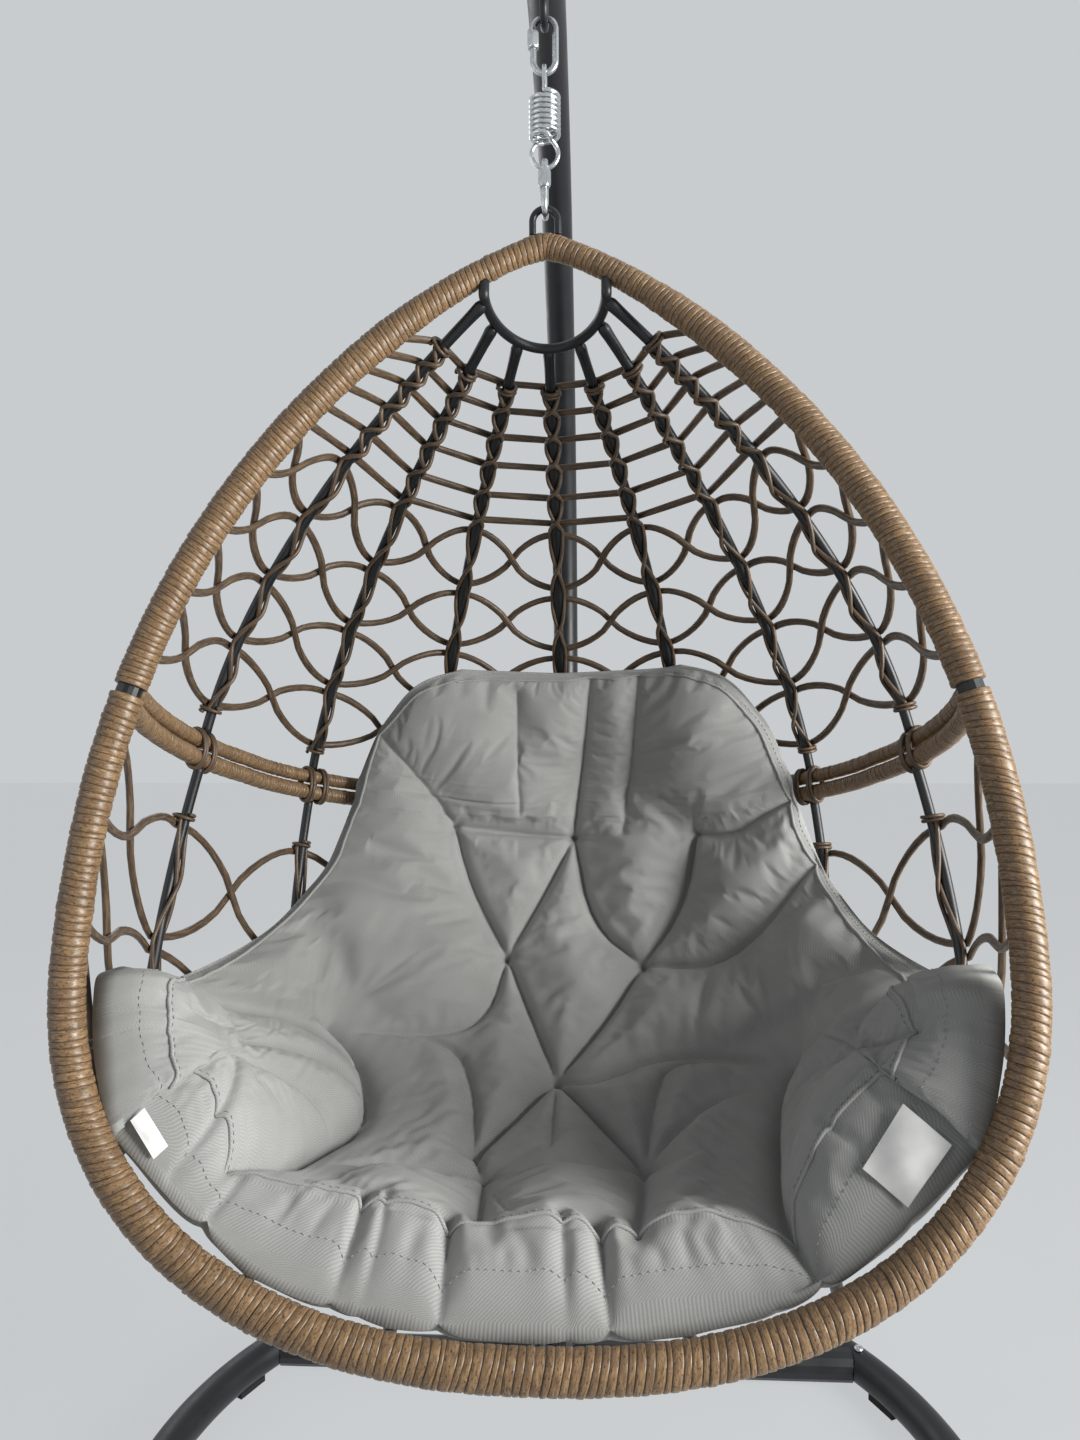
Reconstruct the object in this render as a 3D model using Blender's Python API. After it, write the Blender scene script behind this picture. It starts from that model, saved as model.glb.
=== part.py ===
"""Hanging egg chair on a curved pole stand: an open wicker basket of two wound rims, steel ribs and a knotted
net, hung by two quick links and a spring, with one tufted cushion. Metres, +Z up, front towards -Y.
The origin is on the floor, under the middle of the chair's bounding box."""

import math

import bmesh
import bpy
import numpy as np
from mathutils import Vector

# ---- clearances
GAP = 0.0003  # between pieces that touch
TURN_GAP = 0.0010  # between the loop and the link it turns on
NET_GAP = 0.0008  # between the net's strands and the ribs they lie against
CLOTH_GAP = 0.0035  # between the cushion and the basket

# ---- stand
POLE_D = 0.045
ARCH_R = 0.79  # centreline radius of the arch
ARCH_Z = 1.126  # height of the arch's centre
ARCH_BACK = -0.010  # centre of the arch behind the hang line
ARCH_END = 97.0  # degrees, where the arch stops past its top
POLE_LEAN = 20.0  # degrees, lean of the lower tube
POLE_JOINT_L = 0.070  # length of the swaged end in the arch
POLE_WALL = 0.003
SOCKET_L = 0.090
SOCKET_WALL = 0.003
BASE_D = 0.050
BAR_L = 0.940  # crossbar, over its ends
ARM_R = 0.505  # plan radius of the base arms
ARM_FRONT = 0.055  # half-length of the straight front run
ARM_PAST = 0.060  # the arms run on behind the crossbar
SLEEVE_L = 0.110
SLEEVE_WALL = 0.003
SLEEVE_FIT = 0.0008  # play between the arms and the sleeve
PAD_L = 0.050
PAD_W = 0.034
PAD_H = 0.010
PAD_BASE = 0.004  # rubber under the tube
PAD_CLEAR = 0.012  # between the rear pads and the crossbar
BOLT_D = 0.008
BOLT_HEAD_D = 0.015
BOLT_HEAD_H = 0.0045
CAP_H = 0.006

# ---- suspension
HOOK_D = 0.009
HOOK_R = 0.016  # bend radius of the stand's hook
HOOK_DROP = 0.045  # hook's lowest wire centre under the arch
LINK_D = 0.007
LINK_L = 0.066  # over all
LINK_W = 0.032
NUT_L = 0.020
NUT_ACROSS = 0.0125
NUT_DROP = 0.010  # nut's middle below the link's upper bend centre
LINK_OPEN = 0.010  # gap in the leg that the nut closes
SPRING_WIRE = 0.005
SPRING_D = 0.036
SPRING_TURNS = 8
SPRING_PITCH = 0.0056
SPRING_HOOK_R = 0.011
SPRING_NECK = 0.021  # from the hook's bend centre to the first turn
RING_D = 0.035  # spring's lower ring, over all
RING_NECK = 0.0185  # from the last turn to the ring's middle
LOOP_D = 0.008
LOOP_W = 0.0366
LOOP_LEG = 0.041  # loop's top bar above the hoop's centreline

# ---- basket, in its own tilted frame: u across, v back, w up, from the top of the hoop
TILT = 17.0
RIM_A = 0.450  # half width of the hoop
RIM_H = 1.123  # height of the hoop
RIM_WIDEST = 0.765
RIM_UP_U = 1.3
RIM_UP_W = 2.2
RIM_LOW = 2.3
RIM_D = 0.034
RIM_D_TOP = 0.027
RIM_D_LOW = 0.038
WAIST_W = -0.517
JOINT_GAP = 0.010
SPIGOT_D = 0.026
BAND_UP_D = 0.019
BAND_LOW_D = 0.022
BAND_APART = 0.0025
COLLAR_D = 0.012
COLLAR_U = 0.068
COLLAR_V = 0.102
COLLAR_W = -0.062
RIB_D = 0.013
RIB_FLARE = 1.35
STRAND_D = 0.0075
RUNGS = (0.08, 0.13, 0.18, 0.235, 0.295)
WAVES_UP = (0.36, 0.50, 0.64, 0.785, 0.93)
WAVES_LOW = (1.08, 1.27, 1.49, 1.74)

# ---- cushion
TUFT_R = 0.055
TUFT_DEEP = 0.034

# ---- derived
pole_r = POLE_D / 2
base_r = BASE_D / 2
base_z = PAD_BASE + base_r
lean = math.radians(POLE_LEAN)
joint_y = ARCH_BACK + ARCH_R * math.cos(lean)
joint_z = ARCH_Z - ARCH_R * math.sin(lean)
bar_y = joint_y - (joint_z - base_z) * math.tan(lean)
arm_side_y = math.sqrt(ARM_R**2 - (BAR_L / 2 - ARM_FRONT) ** 2)
arm_y = bar_y - arm_side_y
front_most = arm_y - ARM_R - base_r - SLEEVE_WALL
back_most = ARCH_BACK + ARCH_R + pole_r
HANG_Y = -(front_most + back_most) / 2
arch_top = ARCH_Z + math.sqrt(ARCH_R**2 - ARCH_BACK**2)
HOOK_Z = arch_top - pole_r - HOOK_DROP
link_bend = (LINK_W - LINK_D) / 2
link_run = LINK_L - LINK_D
upper_top = HOOK_Z + HOOK_D / 2 + LINK_D / 2 + GAP
upper_low = upper_top - link_run
spring_top = upper_low + LINK_D / 2 + SPRING_WIRE / 2 + GAP
ring_r = (RING_D - SPRING_WIRE) / 2
coil_r = (SPRING_D - SPRING_WIRE) / 2
coil_top = spring_top - SPRING_HOOK_R - SPRING_NECK
coil_low = coil_top - SPRING_TURNS * SPRING_PITCH
ring_z = coil_low - RING_NECK
lower_top = ring_z - ring_r + SPRING_WIRE / 2 + LINK_D / 2 + GAP
lower_low = lower_top - link_run
loop_top = lower_low + LINK_D / 2 + LOOP_D / 2 + TURN_GAP
APEX_Z = loop_top - LOOP_LEG
band_up_w = WAIST_W + (BAND_UP_D + BAND_APART) / 2
band_low_w = WAIST_W - (BAND_LOW_D + BAND_APART) / 2
strand_out = RIB_D / 2 + STRAND_D / 2 + NET_GAP

for old in list(bpy.data.objects):
    bpy.data.objects.remove(old, do_unlink=True)

chair = bpy.data.collections.new("hanging_egg_chair")
cutters = bpy.data.collections.new("cutters")
bpy.context.scene.collection.children.link(chair)
bpy.context.scene.collection.children.link(cutters)


def paint(name, hexcode, rough, metal=0.0):
    """A Principled material from an sRGB colour."""
    made = bpy.data.materials.new(name)
    made.use_nodes = True
    shader = made.node_tree.nodes["Principled BSDF"]
    rgb = [int(hexcode[i : i + 2], 16) / 255 for i in (0, 2, 4)]
    rgb = [c / 12.92 if c < 0.04045 else ((c + 0.055) / 1.055) ** 2.4 for c in rgb]
    shader.inputs["Base Color"].default_value = (*rgb, 1.0)
    shader.inputs["Roughness"].default_value = rough
    shader.inputs["Metallic"].default_value = metal
    made.diffuse_color = (*rgb, 1.0)
    return made


BLACK = paint("black_powder_coat", "1B1D20", 0.42)
ZINC = paint("zinc_plate", "C8CCCE", 0.26, 1.0)
RUBBER = paint("black_rubber", "141414", 0.85)
PLASTIC = paint("black_plastic", "202224", 0.55)
WOUND = paint("wound_wicker", "8A6A4A", 0.5)
NETTING = paint("net_wicker", "5E4836", 0.5)
TWILL = paint("grey_twill", "9A9A98", 0.9)


def empty(name, spot, parent=None, turn_x=0.0):
    """A joint or frame empty at a spot given under its parent."""
    made = bpy.data.objects.new(name, None)
    made.empty_display_size = 0.05
    made.location = spot
    made.rotation_euler = (turn_x, 0, 0)
    made.parent = parent
    chair.objects.link(made)
    return made


stand = empty("stand_frame", (0, 0, 0))
swing = empty("front_back_swing_axis", (0, HANG_Y, HOOK_Z + HOOK_R), stand)
side = empty("side_swing_axis", (0, 0, upper_low + link_bend - HOOK_Z - HOOK_R), swing)
slide = empty("spring_stretch_axis", (0, 0, ring_z - upper_low - link_bend), side)
turn = empty("basket_turn_axis", (0, 0, loop_top - ring_z), slide)
hoop = empty("basket_frame", (0, 0, APEX_Z - loop_top), turn, -math.radians(TILT))
FLOOR_AT = {
    stand: 0.0,
    swing: HOOK_Z + HOOK_R,
    side: upper_low + link_bend,
    slide: ring_z,
    turn: loop_top,
}


def finish(obj, mat, parent, smooth=40):
    """Puts an object in the model under its parent, with its material and smooth shading."""
    obj.parent = parent
    if obj.name not in chair.objects:
        chair.objects.link(obj)
    for other in list(obj.users_collection):
        if other is not chair:
            other.objects.unlink(obj)
    obj.data.materials.clear()
    obj.data.materials.append(mat)
    if obj.type == "MESH" and smooth:
        obj.data.shade_smooth()
        obj.data.set_sharp_from_angle(angle=math.radians(smooth))
    return obj


def curve_of(name, runs, radius, res=1, sizes=None):
    """A round bar along each run of points, as a curve with closed ends."""
    data = bpy.data.curves.new(name, "CURVE")
    data.dimensions = "3D"
    data.bevel_depth = radius
    data.bevel_resolution = res
    data.use_fill_caps = True
    data.twist_mode = "MINIMUM"
    for k, run in enumerate(runs):
        spline = data.splines.new("POLY")
        spline.points.add(len(run) - 1)
        for i, p in enumerate(run):
            spline.points[i].co = (p[0], p[1], p[2], 1)
            spline.points[i].radius = sizes[k][i] if sizes else 1.0
    obj = bpy.data.objects.new(name, data)
    chair.objects.link(obj)
    return obj


def rod(name, run, radius, mat, parent, res=2, sizes=None):
    """A plain bent bar that nothing is cut from."""
    return finish(curve_of(name, [run], radius, res, [sizes] if sizes is not None else None), mat, parent)


def as_mesh(obj):
    """The curve made a mesh with its caps welded."""
    bpy.context.view_layer.update()
    graph = bpy.context.evaluated_depsgraph_get()
    mesh = bpy.data.meshes.new_from_object(obj.evaluated_get(graph))
    name = obj.name
    work = bmesh.new()
    work.from_mesh(mesh)
    bmesh.ops.remove_doubles(work, verts=work.verts, dist=1e-6)
    bmesh.ops.recalc_face_normals(work, faces=work.faces)
    work.to_mesh(mesh)
    work.free()
    place = obj.matrix_world.copy()
    bpy.data.objects.remove(obj, do_unlink=True)
    made = bpy.data.objects.new(name, mesh)
    made.matrix_world = place
    chair.objects.link(made)
    mesh.name = name
    return made


def bar(name, run, radius, mat, parent, res=2, sizes=None):
    """A bent bar as a mesh, for Boolean cuts."""
    made = as_mesh(curve_of(name, [run], radius, res, [sizes] if sizes is not None else None))
    return finish(made, mat, parent)


def tool(obj, parent):
    """Turns an object into a hidden cutter."""
    if obj.type != "MESH":
        obj = as_mesh(obj)
    for other in list(obj.users_collection):
        other.objects.unlink(obj)
    cutters.objects.link(obj)
    obj.parent = parent
    obj.hide_render = True
    obj.display_type = "WIRE"
    return obj


def boolean(obj, other, how="DIFFERENCE", own=False):
    step = obj.modifiers.new(how.lower() + "_" + other.name, "BOOLEAN")
    step.operation = how
    step.solver = "EXACT"
    step.object = other
    step.use_self = own
    return obj


def drum(name, radius, length, spot, axis, parent, sides=16, low=None):
    """A cylinder, or a cone if low is given, about an axis through its middle."""
    mesh = bpy.data.meshes.new(name)
    work = bmesh.new()
    low = radius if low is None else low
    bmesh.ops.create_cone(work, cap_ends=True, segments=sides, radius1=low, radius2=radius, depth=length)
    work.to_mesh(mesh)
    work.free()
    obj = bpy.data.objects.new(name, mesh)
    obj.location = spot
    obj.rotation_mode = "QUATERNION"
    obj.rotation_quaternion = Vector((0, 0, 1)).rotation_difference(Vector(axis))
    obj.parent = parent
    chair.objects.link(obj)
    return obj


def box(name, size, spot, parent):
    mesh = bpy.data.meshes.new(name)
    work = bmesh.new()
    bmesh.ops.create_cube(work, size=1.0)
    bmesh.ops.scale(work, vec=size, verts=work.verts)
    work.to_mesh(mesh)
    work.free()
    obj = bpy.data.objects.new(name, mesh)
    obj.location = spot
    obj.parent = parent
    chair.objects.link(obj)
    return obj


def arc(middle, radius, start, end, count, one, two):
    """Points on an arc in the plane of the directions one and two, angles in degrees."""
    middle, one, two = (np.array(x, float) for x in (middle, one, two))
    angles = np.radians(np.linspace(start, end, count))
    return [middle + radius * (math.cos(a) * one + math.sin(a) * two) for a in angles]


# ================================================================ stand
X, Y, Z = np.eye(3)
y0 = HANG_Y
bar_ends = BAR_L / 2
crossbar = bar(
    "base_crossbar",
    [(-bar_ends + base_r / 2, y0 + bar_y, base_z), (bar_ends - base_r / 2, y0 + bar_y, base_z)],
    base_r,
    BLACK,
    stand,
    res=5,
)

rear = math.degrees(math.asin((arm_side_y + ARM_PAST) / ARM_R))


def arm_run(sign):
    """Plan curve of one base arm, from its rear end to the joint at the front."""
    bend = arc((ARM_FRONT, y0 + arm_y, base_z), ARM_R, rear, -90, 12, X, Y)
    run = [(sign * p[0], p[1], p[2]) for p in bend]
    return run + [(sign * GAP, y0 + arm_y - ARM_R, base_z)]


arms = {}
for word, sign in (("left", -1), ("right", 1)):
    cutter = tool(curve_of("cut_arm_" + word, [arm_run(sign)], base_r + GAP, 3), stand)
    arms[word] = bar("base_arm_" + word, arm_run(sign), base_r, BLACK, stand, res=3)
    boolean(crossbar, cutter)

sleeve_run = [(-SLEEVE_L / 2, y0 + arm_y - ARM_R, base_z), (SLEEVE_L / 2, y0 + arm_y - ARM_R, base_z)]
sleeve = bar("base_front_sleeve", sleeve_run, base_r + SLEEVE_WALL, BLACK, stand, res=5)
bore = drum("cut_sleeve", base_r + SLEEVE_FIT, SLEEVE_L * 2, (0, y0 + arm_y - ARM_R, base_z), X, stand, 24)
boolean(sleeve, tool(bore, stand))


def cross_bolt(name, spot, axis, out, hosts, parent, length):
    """A button-head bolt whose head sits 'out' from the tube's middle and whose shank runs into the hosts."""
    spot, axis = np.array(spot, float), np.array(axis, float)
    head = drum(
        name, BOLT_HEAD_D / 2 * 0.7, BOLT_HEAD_H, spot + axis * (out + GAP + BOLT_HEAD_H / 2), axis, parent, 12,
        BOLT_HEAD_D / 2,
    )
    middle = spot + axis * (out + GAP + 0.001 - length / 2)
    shank = tool(drum("shank_" + name, BOLT_D / 2, length, middle, axis, parent, 10), parent)
    hole = tool(drum("hole_" + name, BOLT_D / 2 + GAP, length + 0.004, middle, axis, parent, 10), parent)
    boolean(finish(head, ZINC, parent), shank, "UNION")
    for host in hosts:
        boolean(host, hole)


for word, sign in (("left", -1), ("right", 1)):
    cross_bolt(
        "sleeve_bolt_" + word, (sign * SLEEVE_L * 0.27, y0 + arm_y - ARM_R, base_z), -Y, base_r + SLEEVE_WALL,
        [sleeve, arms[word]], stand, 0.020,
    )
    cross_bolt("base_bolt_" + word, (sign * bar_ends, y0 + bar_y, base_z), Z, base_r, [arms[word]], stand, 0.030)

pads = {
    "front_left": (-0.55, -1), "front_right": (-0.55, 1), "back_left": (0.62, -1), "back_right": (0.62, 1),
}
for word, (where, sign) in pads.items():
    clear = (PAD_L / 2 + base_r + PAD_CLEAR) / ARM_R
    angle = where * math.pi / 2 if where < 0 else math.asin(arm_side_y / ARM_R) - clear
    foot = np.array((sign * (ARM_FRONT + ARM_R * math.cos(angle)), y0 + arm_y + ARM_R * math.sin(angle), PAD_H / 2))
    pad = box("foot_pad_" + word, (PAD_L, PAD_W, PAD_H), foot, stand)
    pad.rotation_euler = (0, 0, sign * (angle + math.pi / 2))
    finish(pad, RUBBER, stand, 0)
    boolean(pad, bpy.data.objects["cut_arm_left" if sign < 0 else "cut_arm_right"])

down = np.array((0, -math.sin(lean), -math.cos(lean)))
joint = np.array((0, y0 + joint_y, joint_z))
foot_l = (joint_z - base_z) / math.cos(lean)
arch_run = arc((0, y0 + ARCH_BACK, ARCH_Z), ARCH_R, -POLE_LEAN, ARCH_END, 17, Y, Z)
way = np.array((0, -math.sin(math.radians(ARCH_END)), math.cos(math.radians(ARCH_END))))
square_end = 0.006  # straight run that squares the tube's ends
arch_run = [arch_run[0], arch_run[0] - down * square_end] + arch_run[1:] + [arch_run[-1] + way * square_end]
arch = bar("pole_arch", arch_run, pole_r, BLACK, stand, res=4)
bore = tool(
    drum("cut_pole_bore", pole_r - POLE_WALL, POLE_JOINT_L * 2, joint, down, stand, 20), stand
)
boolean(arch, bore)
pole_start = joint + down * GAP
pole_end = joint + down * (foot_l - base_r - 0.004)
lower = bar("pole_lower", [pole_start, (pole_start + pole_end) / 2, pole_end], pole_r, BLACK, stand, res=4)
spigot_l = POLE_JOINT_L - 0.002
spigot = tool(
    drum("pole_spigot", pole_r - POLE_WALL - 0.002, spigot_l + 0.02, joint - down * (spigot_l / 2 - 0.01), down,
         stand, 20),
    stand,
)
boolean(lower, spigot, "UNION")
square = np.array((1.0, 0, 0))
cross_bolt("pole_joint_bolt", joint - down * 0.035, square, pole_r, [arch, lower], stand, 0.034)

socket = bar(
    "pole_socket", [joint + down * (foot_l - base_r * 0.4), joint + down * (foot_l - base_r - SOCKET_L)],
    pole_r + SOCKET_WALL + GAP, BLACK, stand, res=5,
)
cut_bar = tool(
    drum("cut_crossbar", base_r + GAP, BAR_L, (0, y0 + bar_y, base_z), X, stand, 24), stand
)
cut_pole = tool(
    drum("cut_pole", pole_r + GAP, foot_l, joint + down * (foot_l / 2), down, stand, 24), stand
)
boolean(socket, cut_bar)
boolean(socket, cut_pole)
cross_bolt(
    "pole_socket_bolt", joint + down * (foot_l - base_r - SOCKET_L * 0.62), square, pole_r + SOCKET_WALL + GAP,
    [socket, lower], stand, 0.036,
)

tip = arch_run[-1]
cap = drum("arch_end_cap", pole_r * 0.82, CAP_H, tip + way * (GAP + CAP_H / 2), way, stand, 20, pole_r)
finish(cap, PLASTIC, stand)

hook_mid = np.array((0, y0, HOOK_Z + HOOK_R))
hook_run = [hook_mid + Y * HOOK_R + Z * HOOK_DROP]
hook_run += arc(hook_mid, HOOK_R, 0, -180, 11, Y, Z)
hook_run += [hook_mid - Y * HOOK_R + Z * HOOK_DROP]
hook = bar("stand_hook", hook_run, HOOK_D / 2, BLACK, stand, res=2)
cut_arch = tool(curve_of("cut_arch", [arch_run], pole_r + GAP, 4), stand)
boolean(hook, cut_arch)


# ================================================================ links, nuts and spring
def link_run_of(top, lead):
    """The link's wire from one side of its opening, round both bends, to the other side."""
    opening = top - link_bend - NUT_DROP
    up = np.array((0, 0, top - link_bend))
    low = np.array((0, 0, top - link_run + link_bend))
    flat = np.array(lead, float)
    run = [flat * link_bend + Z * (opening + LINK_OPEN / 2)]
    run += arc(up, link_bend, 0, 180, 7, flat, Z)
    run += arc(low, link_bend, 180, 360, 7, flat, Z)
    return run + [flat * link_bend + Z * (opening - LINK_OPEN / 2)]


def quick_link(name, top, lead, parent):
    """A steel link whose threaded nut bridges the opening in one leg."""
    shift = Z * FLOOR_AT[parent]
    run = [p - shift for p in link_run_of(top, lead)]
    rod(name, run, LINK_D / 2, ZINC, parent, res=2)
    spot = np.array(lead) * link_bend + Z * (top - link_bend - NUT_DROP) - shift
    nut = drum(name + "_nut", NUT_ACROSS / math.sqrt(3), NUT_L, spot, Z, parent, 6)
    finish(nut, ZINC, parent, 20)
    hollow = drum("cut_" + name + "_nut", LINK_D / 2 + GAP, NUT_L * 1.5, spot, Z, parent, 12)
    boolean(nut, tool(hollow, parent))


quick_link("upper_link", upper_top, (-1, 0, 0), swing)
quick_link("lower_link", lower_top, (0, -1, 0), slide)


def spring_points():
    """One unbroken wire: the top hook, the close turns and the lower ring."""
    hook_z = spring_top - SPRING_HOOK_R
    run = arc((0, 0, hook_z), SPRING_HOOK_R, -55, 180, 12, Y, Z)
    run += [np.array((0, -SPRING_HOOK_R, hook_z - 0.006))]
    run += [np.array((0.0005, -SPRING_HOOK_R - 0.001, hook_z - 0.012))]
    steps = 8
    for i in range(SPRING_TURNS * steps + 1):
        angle = -math.pi / 2 + 2 * math.pi * i / steps
        z = coil_top - SPRING_PITCH * i / steps
        run.append(np.array((coil_r * math.cos(angle), coil_r * math.sin(angle), z)))
    run += [np.array((0.006, -coil_r * 0.80, coil_low - 0.0035))]
    run += arc((0, 0, ring_z), ring_r, 62, -262, 17, X, Z)
    first = len(run) - 17
    run[first] += np.array((0.0, -0.006, 0))
    run[-1] += np.array((0, 0.006, 0))
    run[-2] += np.array((0, 0.003, 0))
    return run


def least_gap(points, wire, skip):
    """The smallest clear distance between stretches of a wire that aren't next to each other."""
    points = np.array(points)
    fine = np.concatenate([np.linspace(a, b, 8, endpoint=False) for a, b in zip(points, points[1:])])
    far = np.linalg.norm(fine[:, None] - fine[None], axis=2)
    index = np.arange(len(fine))
    far[np.abs(index[:, None] - index[None]) < skip] = 9
    return far.min() - wire


spring_run = spring_points()
print("spring: least gap to itself", round(1000 * least_gap(spring_run, SPRING_WIRE, 40), 3), "mm")
rod("spring", [p - Z * FLOOR_AT[side] for p in spring_run], SPRING_WIRE / 2, ZINC, side, res=1)

loop_half = (LOOP_W - LOOP_D) / 2
loop_mid = np.array((0, 0, -loop_half))
loop_run = [np.array((loop_half, 0, -LOOP_LEG + 0.001))]
loop_run += arc(loop_mid, loop_half, 0, 180, 9, X, Z)
loop_run += [np.array((-loop_half, 0, -LOOP_LEG + 0.001))]
loop = bar("basket_loop", loop_run, LOOP_D / 2, BLACK, turn, res=2)


# ================================================================ basket
def hoop_half(count):
    """Right half of the hoop's centreline as (u, w), from the top to the bottom."""
    out = []
    for a in np.linspace(0, math.pi / 2, count):
        depth = 1 - max(math.cos(a), 0) ** (2 / RIM_UP_W)
        out.append((RIM_A * math.sin(a) ** (2 / RIM_UP_U), -RIM_WIDEST * depth))
    for a in np.linspace(0, math.pi / 2, count)[1:]:
        down_to = (RIM_H - RIM_WIDEST) * math.sin(a) ** (2 / RIM_LOW)
        out.append((RIM_A * max(math.cos(a), 0) ** (2 / RIM_LOW), -RIM_WIDEST - down_to))
    return np.array(out)


HALF = hoop_half(400)
ALONG = np.concatenate([[0], np.cumsum(np.linalg.norm(np.diff(HALF, axis=0), axis=1))])


def on_hoop(length):
    """(u, v, w) at a distance along the right half of the hoop from its top."""
    return np.array((np.interp(length, ALONG, HALF[:, 0]), 0, np.interp(length, ALONG, HALF[:, 1])))


def along_at(w):
    return float(np.interp(-w, -HALF[:, 1], ALONG))


at_waist = along_at(WAIST_W)
at_end = float(ALONG[-1])
joint_u = on_hoop(at_waist)[0]


def rim_size(length):
    """Half the wound rim's thickness, thinner at the top and thicker at the bottom."""
    u, _, w = on_hoop(length)
    if w > -0.06:
        return RIM_D_TOP / 2
    low = min(max((-w - RIM_WIDEST) / (RIM_H - RIM_WIDEST), 0), 1)
    return (RIM_D + (RIM_D_LOW - RIM_D) * low**2) / 2


def flip(p):
    return np.array((-p[0], p[1], p[2]))


way = on_hoop(at_waist + 0.01) - on_hoop(at_waist - 0.01)
way = way / np.linalg.norm(way)


def rim_run(start, end, count, more=0.0):
    """Points and sizes of a rim from the left side through the middle to the right, square at the waist."""
    upper = start == 0
    stops = np.linspace(start, end, count)
    right = [on_hoop(a) for a in stops]
    sizes = [rim_size(a) + more for a in stops]
    if upper:
        right = right[:-1] + [right[-1] - way * 0.005, right[-1]]
        sizes = sizes + [sizes[-1]]
        return [flip(p) for p in right[:0:-1]] + right, sizes[:0:-1] + sizes
    right = [right[0], right[0] + way * 0.005] + right[1:]
    sizes = [sizes[0]] + sizes
    return right + [flip(p) for p in right[-2::-1]], sizes + sizes[-2::-1]


def rim(name, start, end, count):
    run, wide = rim_run(start, end, count)
    return bar(name, run, 1.0, WOUND, hoop, res=2, sizes=wide)


upper_rim = rim("upper_rim", 0, at_waist - JOINT_GAP / 2, 16)
lower_rim = rim("lower_rim", at_waist + JOINT_GAP / 2, at_end, 18)


def rim_cutter(name, start, end, count, more):
    run, wide = rim_run(start, end, count, more)
    return tool(curve_of(name, [run], 1.0, 2, [wide]), hoop)


cut_upper_rim = rim_cutter("cut_upper_rim", 0, at_waist - JOINT_GAP / 2, 16, GAP)
cut_lower_rim = rim_cutter("cut_lower_rim", at_waist + JOINT_GAP / 2, at_end, 18, GAP)
boolean(loop, cut_upper_rim)

joint_cuts = []
for word, sign in (("left", -1), ("right", 1)):
    spot = on_hoop(at_waist) * np.array((sign, 1, 1))
    line = way * np.array((sign, 1, 1))
    reach = np.linalg.norm(on_hoop(at_waist + JOINT_GAP / 2) - on_hoop(at_waist - JOINT_GAP / 2)) - 2 * GAP
    finish(drum("joint_spigot_" + word, SPIGOT_D / 2, reach, spot, line, hoop, 16), BLACK, hoop)
    room = drum("cut_joint_" + word, RIM_D / 2 + GAP, JOINT_GAP * 2, spot, line, hoop, 10)
    joint_cuts.append(tool(room, hoop))


def bezier(points, count):
    a, b, c, d = (np.array(p, float) for p in points)
    t = np.linspace(0, 1, count)[:, None]
    return (1 - t) ** 3 * a + 3 * (1 - t) ** 2 * t * b + 3 * (1 - t) * t**2 * c + t**3 * d


RING_SIDE = (0.425, 0.38)
RING_BACK = 0.68


def ring_plan(w, count):
    """Right half of the waist ring from the rim to the middle of the back."""
    side_part = [(joint_u, 0, w), (joint_u + 0.035, 0.11, w), (joint_u + 0.045, 0.26, w), (*RING_SIDE, w)]
    back_part = [(*RING_SIDE, w), (0.40, 0.53, w), (0.24, RING_BACK, w), (0, RING_BACK, w)]
    return np.concatenate([bezier(side_part, count), bezier(back_part, count)[1:]])


bands = {}
cuts = {}
for name, w, size in (
    ("upper_waist_band", band_up_w, BAND_UP_D),
    ("lower_waist_band", band_low_w, BAND_LOW_D),
):
    half = ring_plan(w, 8)
    run = list(half) + [flip(p) for p in half[-2::-1]]
    bands[name] = bar(name, run, size / 2, WOUND, hoop, res=1)
    cuts[name] = tool(curve_of("cut_" + name, [run], size / 2 + GAP, 1), hoop)
for band in bands.values():
    boolean(band, cut_upper_rim)
    boolean(band, cut_lower_rim)
    for cutter in joint_cuts:
        boolean(band, cutter)

collar_run = [(COLLAR_U * math.cos(a), COLLAR_V * math.sin(a), COLLAR_W) for a in np.linspace(0, math.pi, 11)]
collar_leg = on_hoop(float(np.interp(COLLAR_U, HALF[:400, 0], ALONG[:400])))
collar_run = [collar_leg] + collar_run + [flip(collar_leg)]
collar = bar("collar", collar_run, COLLAR_D / 2, BLACK, hoop, res=2)
boolean(collar, cut_upper_rim)
cut_collar = tool(curve_of("cut_collar", [collar_run], COLLAR_D / 2 + GAP, 2), hoop)

COLLAR_AT = ((0.068, 0.012), (0.062, 0.055), (0.036, 0.09), (0.0, COLLAR_V))
RING_AT = ((0.445, 0.27), (0.372, 0.515), (0.205, 0.648), (0.0, RING_BACK))
BOTTOM_AT = (0.40, 0.27, 0.135, 0.0)
BELLY = (0.11, 0.10, 0.06, 0.06)


def rim_w_at(u):
    """Height of the hoop's lower run at a half width."""
    return float(np.interp(u, HALF[:399:-1, 0], HALF[:399:-1, 1]))


def upper_path(i, count):
    top, ring = np.array(COLLAR_AT[i]), np.array(RING_AT[i])
    run = ring - top
    p0 = np.array((*top, COLLAR_W))
    p3 = np.array((*ring, band_up_w))
    p1 = p0 + np.array((*run * 0.42, -0.09))
    p2 = p3 + np.array((*run * -0.12, 0.20))
    return bezier((p0, p1, p2, p3), count)


def lower_path(i, count):
    ring = np.array(RING_AT[i])
    out = ring / np.linalg.norm(ring)
    p0 = np.array((*ring, band_low_w))
    p3 = np.array((BOTTOM_AT[i], 0, rim_w_at(BOTTOM_AT[i])))
    p1 = p0 + np.array((*out * BELLY[i], -0.34))
    p2 = p3 + np.array((0.02 if i < 3 else 0, 0.62 * ring[1], -0.05))
    return bezier((p0, p1, p2, p3), count)


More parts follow.
